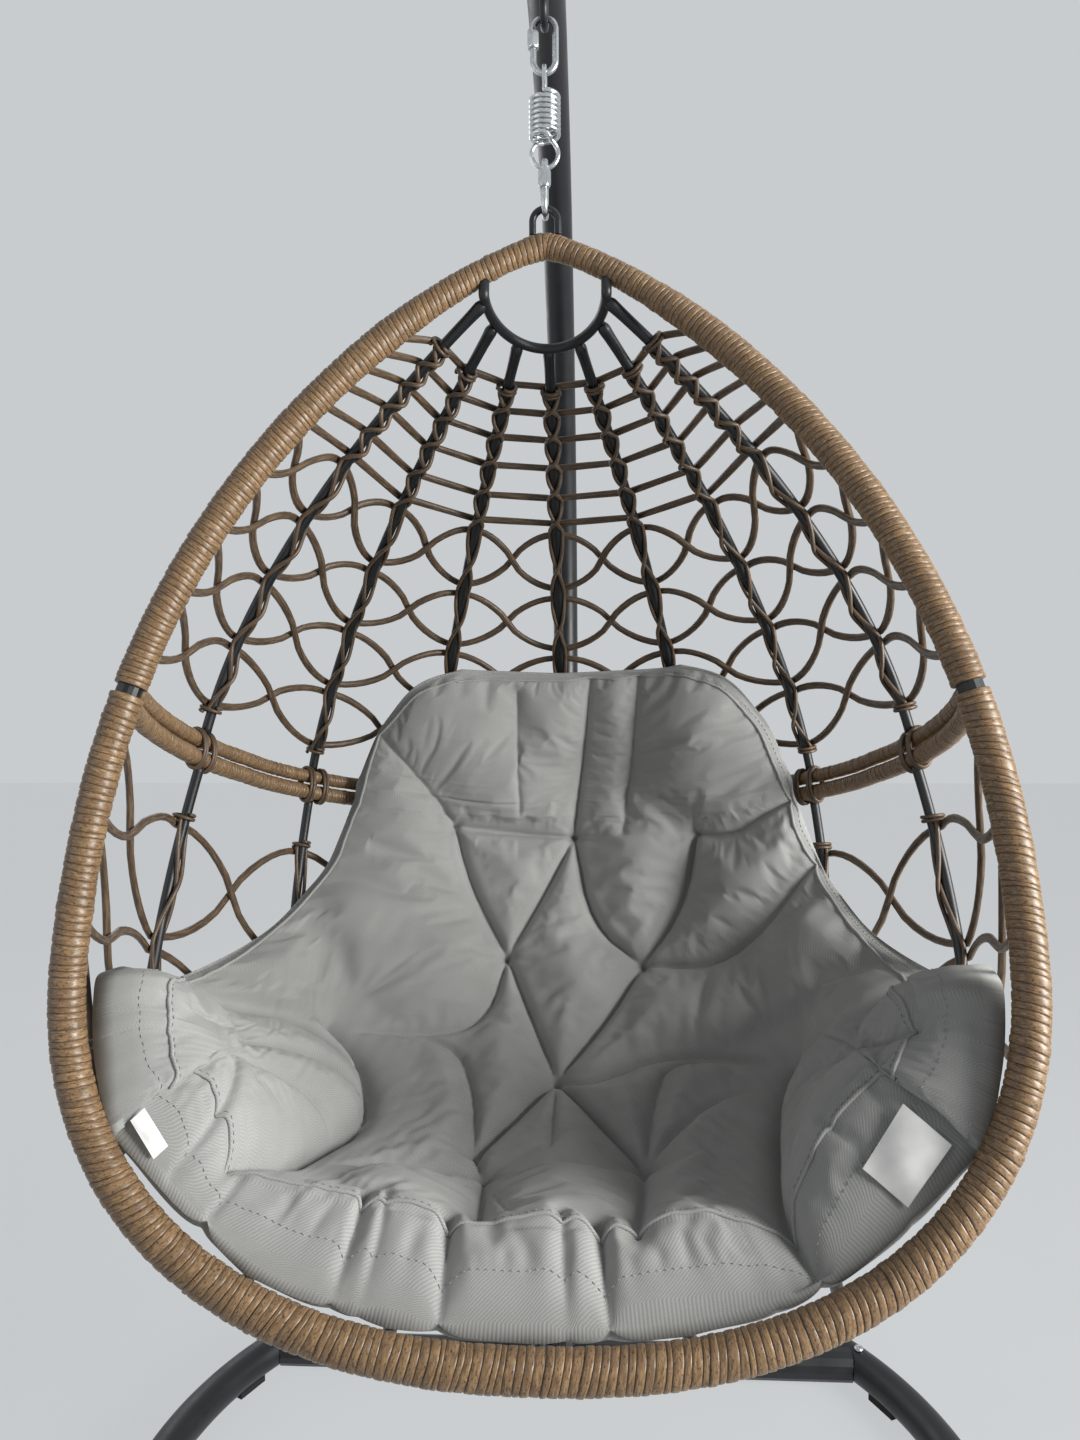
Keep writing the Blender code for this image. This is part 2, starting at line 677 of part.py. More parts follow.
RIB_PTS = 7
for number in range(7):
    i = min(number, 6 - number)
    sign = -1 if number < 3 else 1
    mirror = np.array((sign, 1, 1)) if i < 3 else np.ones(3)
    flare = [RIB_FLARE] + [1.0] * (RIB_PTS - 1)
    up = bar(f"upper_rib_{number + 1}", upper_path(i, RIB_PTS) * mirror, RIB_D / 2, BLACK, hoop, 1, flare)
    boolean(up, cut_collar)
    boolean(up, cuts["upper_waist_band"])
    low = bar(f"lower_rib_{number + 1}", lower_path(i, RIB_PTS) * mirror, RIB_D / 2, BLACK, hoop, 1)
    boolean(low, cuts["lower_waist_band"])
    boolean(low, cut_lower_rim)

# ---- the net's surface: eight gores between the rims and the seven ribs, s across and t from collar to foot
FINE = RIB_PTS
rim_upper = np.array([on_hoop(a) for a in np.linspace(along_at(COLLAR_W), at_waist, FINE)])
rim_foot = float(np.interp(-rim_w_at(BOTTOM_AT[0]), -HALF[400:, 1], ALONG[400:]))
rim_lower = np.array([on_hoop(a) for a in np.linspace(at_waist, rim_foot, FINE)])
COLUMNS = [np.concatenate([rim_upper, rim_lower])]
for i in range(4):
    COLUMNS.append(np.concatenate([upper_path(i, FINE), lower_path(i, FINE)]))


def column(k, t):
    """Point at t on line k: 0 and 8 are the rims, 1 to 7 the ribs."""
    j = min(k, 8 - k)
    t = min(max(t, 0), 2)
    place = t * (FINE - 1) + (1 if t > 1 else 0)
    path = COLUMNS[j]
    p = np.array([np.interp(place, np.arange(len(path)), path[:, c]) for c in range(3)])
    return p * np.array((1 if k > 4 else -1, 1, 1)) if j < 4 else p


def gore(s, t):
    """Point of the basket's surface at s from 0 to 8 across."""
    s = min(max(s, 0), 8)
    k = min(int(s), 7)
    return column(k, t) * (k + 1 - s) + column(k + 1, t) * (s - k)


def outward(s, t):
    """Unit direction out of the basket there."""
    a = gore(s + 0.6, t) - gore(s - 0.6, t)
    b = gore(s, min(t + 0.03, 2)) - gore(s, max(t - 0.03, 0))
    n = np.cross(a, b)
    n = n / max(np.linalg.norm(n), 1e-9)
    return n if n @ (gore(s, t) - np.array((0, 0.12, -0.62))) > 0 else -n


def level(t, s):
    """Rows sit a little lower on the outer ribs."""
    side_way = abs(s - 4) / 4
    return t + 0.065 * side_way**2 * (1 - t) ** 2 if t < 1 else t


def strand_point(s, t, lift=0.0):
    """A point of the net, lying against the outside of the ribs and coming in to meet the rims."""
    near = min(s, 8 - s, 1.0)
    near = math.sin(near * math.pi / 2)
    weld = RIB_D / 2 * (RIB_FLARE - 1) * max(0, 1 - t * (RIB_PTS - 1))
    return gore(s, t) + outward(min(max(s, 0.4), 7.6), t) * ((strand_out + weld) * near + lift)


def rung(t, start, end):
    return [strand_point(s, level(t, s)) for s in np.linspace(start, end, end - start + 1)]


def wave(t0, t1, start, end, side_of):
    """A strand that swings from one row to the next at each rib, flat where it meets them."""
    run = []
    steps = 3
    for n in range((end - start) * steps + 1):
        s = start + n / steps
        k = math.cos(math.pi * s)
        ease = 0.5 - 0.5 * side_of * (math.copysign(abs(k) ** 0.75, k))
        t = level(t0, s) * (1 - ease) + level(t1, s) * ease
        run.append(strand_point(s, t, 0.0015 * side_of * abs(math.sin(math.pi * s))))
    return run


def drawn_in(run, start, end):
    """Ends that lie on a rib's strand stop just inside it."""
    if start > 0:
        run[0] = run[0] + (run[1] - run[0]) * (0.0008 / np.linalg.norm(run[1] - run[0]))
    if end < 8:
        run[-1] = run[-1] + (run[-2] - run[-1]) * (0.0025 / np.linalg.norm(run[-2] - run[-1]))
    return run


def spine(k, t0, t1):
    """The strand that runs down behind rib k and ties its rows, bent where the rib's own facets bend."""
    base = math.floor(t0)
    inner = [base + n / (RIB_PTS - 1) for n in range(1, RIB_PTS - 1)]
    return [strand_point(k, t) for t in [t0] + [t for t in inner if t0 + 0.02 < t < t1 - 0.02] + [t1]]


def net(name, rungs, rows, start, end, spines, ends, taken):
    """One stretch of net: its rows and waves, joined by the strands behind the ribs."""
    runs = [rung(t, start, end) for t in rungs]
    for t0, t1 in zip(rows, rows[1:]):
        runs.append(wave(t0 + 0.011, t1 - 0.011, start, end, 1))
        runs.append(wave(t0 + 0.011, t1 - 0.011, start, end, -1))
    runs = [drawn_in(run, start, end) for run in runs]
    body = finish(as_mesh(curve_of(name, runs, STRAND_D / 2, 0)), NETTING, hoop)
    ties = [spine(k, *ends) for k in spines]
    boolean(body, tool(curve_of("ties_" + name, ties, STRAND_D / 2, 0), hoop), "UNION", own=True)
    if end < 8:
        reach = spine(end, ends[0] - 0.015, ends[1] + 0.015)
        room = STRAND_D / 2 + GAP + 0.0006
        boolean(body, tool(curve_of("meet_" + name, [reach], room, 2), hoop))
    if taken is not None:
        boolean(body, taken)
    return body


# the stretches meet beside the strands behind ribs 2, 4 and 6
STRETCHES = (
    ("left", 0, 2, (1,)),
    ("back_left", 2, 4, (2, 3)),
    ("back_right", 4, 6, (4, 5)),
    ("right", 6, 8, (6, 7)),
)
for word, start, end, spines in STRETCHES:
    outer = start == 0 or end == 8
    net("upper_net_" + word, RUNGS, WAVES_UP, start, end, spines, (0.065, 0.965), cut_upper_rim if outer else None)
    net("lower_net_" + word, (), WAVES_LOW, start, end, spines, (1.03, 1.775), cut_lower_rim if outer else None)


# ================================================================ cushion
CUSHION_T = (0.66, 1.985)  # from the top of the back to the front edge, along the ribs
HALF_T = (0.66, 0.72, 0.85, 1.00, 1.12, 1.22, 1.32, 1.44, 1.60, 2.00)
HALF_S = (1.30, 1.50, 1.72, 1.86, 2.00, 2.35, 2.95, 3.55, 3.88, 3.90)
LEAN_T = (0.66, 1.10, 1.60, 2.00)
LEAN_S = (0.12, 0.12, 0.00, 0.00)  # the back of the cushion lies a little to the right
THICK_T = (0.66, 0.80, 1.00, 1.20, 1.40, 1.60, 1.80, 1.90, 2.00)
THICK_M = (0.050, 0.070, 0.080, 0.085, 0.095, 0.105, 0.100, 0.112, 0.100)
BOLSTER = 0.035  # extra thickness of the side rolls
TUFTS = (
    (-0.89, 1.037), (0.12, 1.052), (1.18, 1.048), (-0.41, 1.279), (0.67, 1.291), (0.02, 1.529), (-0.55, 1.721),
    (0.76, 1.724),
)
CREASES = ((0, 1), (1, 2), (0, 3), (1, 3), (1, 4), (2, 4), (3, 5), (4, 5), (5, 6), (5, 7))


def inward(s, t):
    return -outward(min(max(s, 0.5), 7.5), min(t, 1.97))


def seat_skin(s, t, depth):
    """A point inside the basket at a depth in from its surface."""
    near_rim = max(0.0, 1 - min(s, 8 - s) / 0.9, 1 - (2 - t) / 0.10)
    near_band = max(0.0, 1 - abs(t - 1) / 0.16)
    room = RIB_D / 2 + CLOTH_GAP + max(near_rim * (RIM_D_LOW - RIB_D), near_band * 2.3 * (BAND_LOW_D - RIB_D)) / 2
    return gore(s, t) + inward(s, t) * (room + depth)


def to_line(p, a, b):
    k = min(max((p - a) @ (b - a) / ((b - a) @ (b - a)), 0), 1)
    return np.linalg.norm(p - a - (b - a) * k)


tuft_at = [seat_skin(4 + s, t, 0.06) for s, t in TUFTS]


def cushion_point(x, y, inner):
    """x and y run from -1 to 1 over the cushion, x across and y from the top of the back to the front edge."""
    a = 0.62 * x + 0.38 * math.sin(x * math.pi / 2)
    b = 0.66 * y + 0.34 * math.sin(y * math.pi / 2)
    t = CUSHION_T[0] + (CUSHION_T[1] - CUSHION_T[0]) * (b + 1) / 2
    half = float(np.interp(t, HALF_T, HALF_S))
    s = 4 + a * half + float(np.interp(t, LEAN_T, LEAN_S))
    crown = (1 - abs(a) ** 5) ** 0.5 * (1 - abs(b) ** 12) ** 0.5
    if not inner:
        return seat_skin(s, t, 0.012 * (1 - crown))
    full = float(np.interp(t, THICK_T, THICK_M))
    full += BOLSTER * min(max((abs(a) * half - 2.2) / 1.2, 0), 1)
    p = seat_skin(s, t, 0.06)
    sunk = TUFT_DEEP * max(math.exp(-((np.linalg.norm(p - q) / TUFT_R) ** 2)) for q in tuft_at)
    fold = max(math.exp(-((to_line(p, tuft_at[i], tuft_at[j]) / 0.022) ** 2)) for i, j in CREASES)
    return seat_skin(s, t, full * (0.30 + 0.70 * crown) - max(sunk, TUFT_DEEP * 0.45 * fold))


def cushion(name, across, along):
    """A flat pad whose two sides are bent to the basket and drawn in at the tufts."""
    work = bmesh.new()
    bmesh.ops.create_grid(work, x_segments=across, y_segments=along, size=1.0)
    bmesh.ops.solidify(work, geom=work.verts[:] + work.edges[:] + work.faces[:], thickness=1.0)
    heights = [v.co.z for v in work.verts]
    middle = (min(heights) + max(heights)) / 2
    for v in work.verts:
        v.co = Vector(cushion_point(v.co.x, -v.co.y, v.co.z > middle))
    bmesh.ops.recalc_face_normals(work, faces=work.faces[:])
    mesh = bpy.data.meshes.new(name)
    work.to_mesh(mesh)
    work.free()
    obj = bpy.data.objects.new(name, mesh)
    chair.objects.link(obj)
    return finish(obj, TWILL, hoop, 0)


seat = cushion("seat_cushion", 16, 21)
seat.data.shade_smooth()
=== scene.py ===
"""Looks of the hanging egg chair: wound wicker rims and bands, knotted net, smooth steel, links, spring and a
tufted twill cushion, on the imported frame. Metres, +Z up, the open front of the basket towards -Y."""

import functools
import math

import bpy
import numpy as np
from mathutils import Matrix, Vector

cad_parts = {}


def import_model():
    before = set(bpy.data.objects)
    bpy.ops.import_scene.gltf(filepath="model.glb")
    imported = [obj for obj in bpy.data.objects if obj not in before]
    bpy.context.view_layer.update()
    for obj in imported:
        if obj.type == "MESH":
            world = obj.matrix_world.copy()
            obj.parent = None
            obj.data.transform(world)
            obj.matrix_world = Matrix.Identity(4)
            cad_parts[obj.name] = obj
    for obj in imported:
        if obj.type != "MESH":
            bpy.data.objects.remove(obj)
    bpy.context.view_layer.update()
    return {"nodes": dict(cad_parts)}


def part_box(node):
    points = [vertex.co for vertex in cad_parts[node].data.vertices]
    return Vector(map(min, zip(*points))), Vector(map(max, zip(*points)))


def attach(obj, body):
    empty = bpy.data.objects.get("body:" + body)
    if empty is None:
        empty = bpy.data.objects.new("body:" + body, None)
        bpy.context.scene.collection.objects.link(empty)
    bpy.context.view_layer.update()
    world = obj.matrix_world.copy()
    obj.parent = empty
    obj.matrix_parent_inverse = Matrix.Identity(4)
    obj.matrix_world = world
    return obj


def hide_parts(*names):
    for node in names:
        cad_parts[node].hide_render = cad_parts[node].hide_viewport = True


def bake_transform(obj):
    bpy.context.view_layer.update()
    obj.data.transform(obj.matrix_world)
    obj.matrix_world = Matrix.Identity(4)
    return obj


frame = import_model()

MM = 0.001
X, Y, Z = np.eye(3)
seeded = np.random.default_rng(7)

# ---- sizes shared with the frame, in metres
HANG_Y = -0.206588
APEX_Z = 1.608537  # top of the hoop's centreline
TILT = math.radians(17.0)
POLE_R, BASE_R, BASE_Z = 0.0225, 0.025, 0.029
ARCH_R, ARCH_Z, POLE_LEAN = 0.79, 1.126, 20.0  # the upper pole's bend, its middle's height, and its start in degrees
ARM_R, BAR_HALF, ARM_PAST, ARMS_APART = 0.505, 0.415, 0.06, 0.055  # the base arms' bend, and the crossbar's half
HOOK_LOW, HOOK_R = 1.848437, 0.016  # hook's lowest wire centre, and its bend
LINK_BEND, LINK_LONG, LINK_WIRE_R, LINK_GAP = 0.0125, 0.059, 0.0035, 0.01
UPPER_LINK_TOP, LOWER_LINK_TOP = 1.856737, 1.700037  # centre of the link's wire at its top
SPRING_TOP, RING_MID = 1.80366, 1.709037
COIL_R, COIL_TURNS, COIL_PITCH, SPRING_HOOK_R, END_RING_R = 0.0155, 8, 0.0056, 0.011, 0.015
LOOP_TOP, LOOP_HALF = 1.649537, 0.0143
COLLAR_W, COLLAR_WIDE, COLLAR_DEEP = -0.062, 0.068, 0.102
HOOP_WIDE, HOOP_WIDEST, HOOP_FOOT = 0.45, 0.765, 0.358  # half its width, and the runs down to and from there
RIM_R = 0.0185  # how far from the rim's centreline other bars end
JOINT_HALF = 0.005  # half the gap between the two halves of the winding
RING_U, RING_BACK = 0.425, 0.68  # where the waist ring's two curves meet, and its back
BAND_UP_W, BAND_LOW_W = -0.50625, -0.52925
BAND_UP_R, BAND_LOW_R = 0.0095, 0.011
RIB_R, RIB_OFF = 0.0065, 0.01105  # rib, and how far outside it the net's strands lie
STRAND_R, STRAND_WIDE, TIE_R = 0.0038, 0.005, 0.0028
# rows of the net on a rib: 0 is the collar, 1 the waist and 2 the foot
RUNGS = (0.08, 0.13, 0.18, 0.235, 0.295)
SIXTH_RUNG = 0.347  # drawn only here
WAVES_UP = (0.36, 0.5, 0.64, 0.785, 0.93)
WAVES_LOW = (1.08, 1.27, 1.49, 1.74)


# ================================================================ materials
def srgb(code):
    """A hex colour made linear."""
    c = np.array([int(code[i : i + 2], 16) / 255 for i in (0, 2, 4)])
    return (*np.where(c < 0.04045, c / 12.92, ((c + 0.055) / 1.055) ** 2.4), 1.0)


class Nodes:
    """A node tree, and short ways to add to it that return the new node's result."""

    def __init__(self, tree):
        self.tree = tree

    def add(self, kind, settings=None, **inputs):
        """Adds one node; an input that is a socket is linked, any other value is set. i0 is the first input."""
        made = self.tree.nodes.new("ShaderNode" + kind)
        for key, value in (settings or {}).items():
            setattr(made, key, value)
        for key, value in inputs.items():
            slot = made.inputs[int(key[1:]) if key[1:].isdigit() else key.replace("_", " ")]
            if isinstance(value, bpy.types.NodeSocket):
                self.tree.links.new(value, slot)
            else:
                slot.default_value = value
        return made

    def map(self, name):
        return self.add("UVMap", {"uv_map": name}).outputs[0]

    def calc(self, how, a, b=0.0):
        return self.add("Math", {"operation": how}, i0=a, i1=b).outputs[0]

    def times(self, *pairs):
        return [self.calc("MULTIPLY", *pair) for pair in pairs]

    def vector(self, *pairs):
        """A vector of three products."""
        x, y, z = self.times(*pairs)
        return self.add("CombineXYZ", None, X=x, Y=y, Z=z).outputs[0]

    def total(self, *pairs):
        """The sum of products."""
        return functools.reduce(lambda a, b: self.calc("ADD", a, b), self.times(*pairs))

    def noise(self, at, scale, detail, rough=0.5):
        return self.add("TexNoise", None, Vector=at, Scale=scale, Detail=detail, Roughness=rough).outputs["Fac"]

    def wave(self, at, direction, scale, **more):
        return self.add("TexWave", {"bands_direction": direction}, Vector=at, Scale=scale, **more).outputs["Fac"]

    def ramp(self, fac, *stops):
        """A colour ramp with its stops given as (place, colour)."""
        made = self.add("ValToRGB", None, Fac=fac)
        while len(made.color_ramp.elements) < len(stops):
            made.color_ramp.elements.new(0.5)
        for element, (place, colour) in zip(made.color_ramp.elements, stops):
            element.position = place
            element.color = srgb(colour) if isinstance(colour, str) else (colour, colour, colour, 1)
        return made.outputs["Color"]

    def mix(self, fac, a, b):
        return self.add("Mix", {"data_type": "RGBA"}, i0=fac, i6=a, i7=b).outputs[2]

    def either(self, fac, a, b):
        return self.add("MixShader", None, i0=fac, i1=a.outputs[0], i2=b.outputs[0]).outputs[0]

    def seen(self, *rays):
        """One for the rays that are named, and zero for others."""
        path = self.add("LightPath")
        rays = [path.outputs[f"Is {ray} Ray"] for ray in rays]
        return functools.reduce(lambda a, b: self.calc("MAXIMUM", a, b), rays)


class Paint(Nodes):
    """A material with its Principled shader's plain sockets set."""

    def __init__(self, name, **sockets):
        self.made = bpy.data.materials.new(name)
        self.made.use_nodes = True
        super().__init__(self.made.node_tree)
        self.shader = self.tree.nodes["Principled BSDF"]
        for key, value in sockets.items():
            self.shader.inputs[key.replace("_", " ")].default_value = value

    def done(self, colour, rough=None, high=None, strength=0.0, distance=0.0):
        """Links the colour, and where given the roughness and a bump from a height, to the shader."""
        links = {"Base Color": colour, "Roughness": rough}
        if high:
            links["Normal"] = self.add("Bump", None, Strength=strength, Distance=distance, Height=high).outputs[0]
        for socket, result in links.items():
            if result:
                self.tree.links.new(result, self.shader.inputs[socket])
        return self.made


def clouded(name, cloud, colours, rough=None, grain=None, bump=(), **sockets):
    """Colour and roughness follow one noise; the bump (strength, distance) follows the grain's noise, or the same
    one. A noise is given as its scale, detail and roughness, and colours and roughness as a ramp's stops."""
    p = Paint(name, **sockets)
    at = p.add("TexCoord").outputs["Object"]
    cloud = p.noise(at, *cloud)
    high = p.noise(at, *grain) if grain else cloud
    return p.done(p.ramp(cloud, *colours), p.ramp(cloud, *rough) if rough else None, high if bump else None, *bump)


def plated(name, light, dark, low, high, grain):
    """Zinc electroplate on drawn or rolled steel: bright metal with a fine grain and patches of duller plate."""
    return clouded(name, (180.0, 4.0, 0.6), ((0.3, dark), (0.65, light)), ((0.3, high), (0.7, low)), (grain, 2.0),
                   (0.3, 0.00012), Metallic=1.0)


def flat_wicker():
    """Extruded flat polyethylene strap, wound edge to edge: brown with printed streaks and short dark flecks along
    the strap, satin gloss, and painted shade darkening each strap's edges, in the gaps between straps. The map's first
    number counts the straps and the second is millimetres round the bar."""
    p = Paint("flat_wicker", IOR=1.5)
    strap, run, _ = p.add("SeparateXYZ", None, Vector=p.map("wound")).outputs
    count = p.calc("FLOOR", strap)
    shade = p.add("TexWhiteNoise", {"noise_dimensions": "1D"}, W=count).outputs["Value"]
    streak = p.noise(p.vector((strap, 5.0), (run, 0.11), (count, 3.7)), 1.0, 4.0, 0.65)
    fleck = p.noise(p.vector((strap, 7.0), (run, 0.34), (count, 1.9)), 1.0, 2.0)
    # distance from the strap's middle: near its edges the strap is darkened towards 2A2118, painted shade in the gaps
    # between straps
    edge = p.calc("ABSOLUTE", p.calc("SUBTRACT", p.calc("SUBTRACT", strap, count), 0.5))
    body = p.ramp(streak, (0.28, "54402D"), (0.48, "876B4C"), (0.72, "B3936D"))
    for fac, dark in ((p.calc("MULTIPLY", shade, 0.45), "6A533D"), (p.ramp(fleck, (0.58, 0.0), (0.66, 0.85)), "33281D"),
                      (p.ramp(edge, (0.4, 0.0), (0.5, 0.75)), "2A2118")):
        body = p.mix(fac, body, srgb(dark))
    return p.done(body, p.ramp(streak, (0.3, 0.46), (0.7, 0.3)), streak, 0.35, 0.0004)


def round_wicker():
    """Extruded round polyethylene strand: darker brown, fine lines drawn along it by the die, satin. The map's first
    number is millimetres along and the second goes from 0 to 1 round it."""
    p = Paint("round_wicker", IOR=1.5)
    run, turn, _ = p.add("SeparateXYZ", None, Vector=p.map("wound")).outputs
    turn = p.calc("MULTIPLY", turn, 2 * math.pi)
    line = p.noise(p.vector((run, 0.03), (p.calc("COSINE", turn), 1.6), (p.calc("SINE", turn), 1.6)), 1.6, 4.0, 0.6)
    body = p.ramp(line, (0.3, "362A20"), (0.5, "584736"), (0.7, "7B6650"))
    return p.done(body, p.ramp(line, (0.3, 0.5), (0.7, 0.36)), line, 0.4, 0.0004)


def polyester_twill():
    """Spun polyester twill: warm grey, matt with a soft sheen. The map is in millimetres. Real twill lines are
    0.6 mm apart; they are drawn 1.3 mm apart so that they show."""
    p = Paint("polyester_twill", Roughness=0.9, Sheen_Weight=0.18, Sheen_Roughness=0.5, Specular_IOR_Level=0.25,
              Sheen_Tint=srgb("D9D9D6"))
    uv = p.map("cloth")
    lines = p.wave(uv, "DIAGONAL", 0.314 / 1.3 / 1.414, Distortion=1.2, Detail=2.0, Detail_Scale=0.6)
    slub, worn = p.noise(uv, 0.5, 3.0, 0.7), p.noise(uv, 0.016, 4.0)
    tone = p.total((lines, 0.3), (slub, 0.35), (worn, 0.35))
    high = p.total((lines, 0.5), (slub, 0.6))
    return p.done(p.ramp(tone, (0.25, "969795"), (0.75, "B2B3B1")), None, high, 0.5, 0.0004)


def woven_label():
    """Woven satin tape, bare: white with a fine warp and a slight gloss. The map is in millimetres."""
    p = Paint("woven_label", Roughness=0.55, Sheen_Weight=0.1)
    uv = p.map("cloth")
    warp = p.wave(uv, "X", 0.5, Distortion=0.8, Detail=1.0)
    return p.done(p.ramp(p.noise(uv, 0.08, 3.0), (0.3, "ECECEA"), (0.7, "F4F4F2")), None, warp, 0.25, 0.0002)


# steel with a polyester powder coat: near black, satin, a faint orange peel of about 1.5 mm and soft cloudy gloss
COAT = clouded("powder_coated_steel", (28.0, 3.0), ((0.3, "111315"), (0.7, "191B1E")), ((0.3, 0.34), (0.7, 0.47)),
               (650.0, 2.0), (0.25, 0.0002), Base_Color=srgb("15171A"), Roughness=0.4)
ZINC = plated("zinc_plated_steel", "D2D5D6", "A9AEB1", 0.2, 0.36, 1500.0)
WIRE = plated("zinc_plated_spring_wire", "DCDFE0", "B8BCBE", 0.14, 0.26, 2200.0)
# moulded rubber foot: matt black with a fine grain
RUBBER = clouded("moulded_rubber", (900.0, 3.0), ((0.35, "101010"), (0.7, "1F1F1F")), bump=(0.4, 0.0003),
                 Roughness=0.82)
# injection-moulded polyethylene plug: black, low gloss, slightly uneven sheen
PLUG = clouded("moulded_polyethylene", (60.0, 3.0), ((0.3, "1C1E20"), (0.7, "292B2E")), ((0.3, 0.5), (0.7, 0.62)),
               IOR=1.5)
STRAP = flat_wicker()
STRAND = round_wicker()
TWILL = polyester_twill()
# spun polyester sewing thread, twisted: a little lighter than the cloth, soft
THREAD = clouded("spun_thread", (1400.0, 2.0), ((0.35, "86868A"), (0.65, "B4B4B2")), bump=(0.4, 0.0002), Roughness=0.8)
LABEL = woven_label()


# ================================================================ surfaces
def unit(v):
    return v / np.maximum(np.linalg.norm(v, axis=-1, keepdims=True), 1e-12)


def square_to(v, ahead):
    """The part of a direction that is square to another, made one long."""
    return unit(v - np.sum(v * ahead, -1, keepdims=True) * ahead)


def turns(count):
    """Angles in equal steps once round."""
    return np.linspace(0, 2 * math.pi, count, endpoint=False)


def circle(a, one, two):
    """One direction times the cosine of the angle plus the other times its sine."""
    return np.cos(a)[..., None] * one + np.sin(a)[..., None] * two


def lengths(path):
    """Distance along a path, or along each of a stack of paths."""
    step = np.linalg.norm(np.diff(path, axis=-2), axis=-1)
    return np.concatenate([np.zeros_like(step[..., :1]), np.cumsum(step, axis=-1)], -1)


def walked(table, at, run=None):
    """A path, or a table of vectors beside it, read at distances along the path."""
    run = lengths(table) if run is None else run
    return np.stack([np.interp(at, run, table[:, c]) for c in range(3)], -1)


def tube(path, radius, sides, across=Y):
    """Ring k is the path's point k plus the radius there times the cosine and sine of the angle round it, on two
    directions square to the path, the first of them nearest to 'across'."""
    path, radius = np.asarray(path, float), np.asarray(radius, float)
    ahead = unit(np.gradient(path, axis=-2))
    one = square_to(across, ahead)
    two = np.cross(ahead, one)
    if radius.ndim < path.ndim:
        radius = np.broadcast_to(radius, path.shape[:-1])[..., None]
    return path[..., None, :] + radius[..., None] * circle(turns(sides), one[..., None, :], two[..., None, :])


def wound_map(rings, along, round_mm=1.0):
    """A map for rings of points: 'along' on each ring, and either 0 to 1 or millimetres round it."""
    k, n, m = rings.shape[:3]
    turn = np.broadcast_to(np.linspace(0, 1, m + 1), (k, n, m + 1)) * round_mm
    return np.stack([np.broadcast_to(np.asarray(along)[..., None], (k, n, m + 1)), turn], -1)


def put(name, data):
    """An object of some data, in the scene."""
    made = bpy.data.objects.new(name, data)
    bpy.context.scene.collection.objects.link(made)
    return made


def make(name, rings, paint, body, slot, stands_for=(), uv=None, uv_name="wound", ends="poles", smooth=None):
    """One mesh from stacked rings of points (stack, ring, round, xyz). Quads join each ring to the next and each
    point to the one beside it. At the ends a fan goes to a middle point (poles), the last ring joins the first
    (loop), or the first and last rings are closed flat (zip)."""
    rings = np.asarray(rings, float)
    rings = rings[None] if rings.ndim == 3 else rings
    k, n, m = rings.shape[:3]
    uv = wound_map(rings, lengths(rings.mean(2)) / MM) if uv is None else uv
    uv = uv[None] if uv.ndim == 3 else uv
    i = np.arange(n if ends == "loop" else n - 1)[:, None, None] + (0, 0, 1, 1)
    j = np.arange(m)[:, None] + (0, 1, 1, 0)
    first = np.arange(k) * n * m
    points = rings.reshape(-1, 3)
    faces = [(first[:, None, None, None] + i % n * m + j % m).reshape(-1, 4)]
    flat = [uv[:, np.minimum(i, n - 1), j]]
    if ends == "poles":
        start = first[:, None] + np.arange(m + 1) % m
        last = start + (n - 1) * m
        pole = len(points) + 2 * np.arange(k)[:, None] + np.zeros(m, int)
        faces += [np.stack([pole, start[:, 1:], start[:, :-1]], -1).reshape(-1, 3),
                  np.stack([pole + 1, last[:, :-1], last[:, 1:]], -1).reshape(-1, 3)]
        flat.append(np.repeat([uv[:, 0, 0], uv[:, -1, 0]], m * 3, axis=1))
        points = np.concatenate([points, np.stack([rings[:, 0].mean(1), rings[:, -1].mean(1)], 1).reshape(-1, 3)])
    elif ends == "zip":
        h = np.arange(m // 2 - 1)
        faces.append(np.concatenate([np.stack([h + 1, h, m - 1 - h, m - 2 - h], -1),
                                     np.stack([h, h + 1, m - 2 - h, m - 1 - h], -1) + (n - 1) * m]))
        flat.append(uv[0, :, :m].reshape(-1, 2)[faces[1]])
    flat = np.concatenate([f.reshape(-1, 2) for f in flat]).astype(np.float32)
    mesh = bpy.data.meshes.new(name)
    mesh.from_pydata(points.tolist(), [], sum((f.tolist() for f in faces), []))
    mesh.uv_layers.new(name=uv_name).data.foreach_set("uv", flat.reshape(-1))
    mesh.materials.append(paint)
    mesh.shade_smooth()
    if smooth:
        mesh.set_sharp_from_angle(angle=math.radians(smooth))
    mesh.update()
    piece = put(name, mesh)
    if body:
        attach(piece, body)
    if stands_for:
        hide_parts(*stands_for)
    return piece


def steel(name, rings, body, node):
    """A powder-coated piece."""
    make(name, rings, COAT, body, "black_powder_coat", (node,))


def wicker(name, rings, nodes=(), **more):
    """A piece of round strand on the basket, from rings in the basket's frame."""
    make(name, world(rings), STRAND, "basket", "net_wicker", nodes, **more)


def softened(points, step, blur):
    """The path walked in equal steps and averaged over a short stretch, with its ends kept."""
    points = np.asarray(points, float)
    total = lengths(points)[-1]
    path = walked(points, np.linspace(0, total, max(int(total / step), 8)))
    half = max(int(blur / step), 1)
    weight = np.hanning(2 * half + 3)[1:-1]
    weight /= weight.sum()
    more = np.arange(1, half + 1)[:, None]
    long = np.concatenate([path[0] + (path[0] - path[1]) * more[::-1], path, path[-1] + (path[-1] - path[-2]) * more])
    return np.stack([np.convolve(long[:, c], weight, "valid") for c in range(3)], 1)


def arc(middle, radius, start, end, count, one, two):
    """Points on an arc in the plane of two directions, angles in degrees."""
    return np.asarray(middle, float) + radius * circle(np.radians(np.linspace(start, end, count)), one, two)


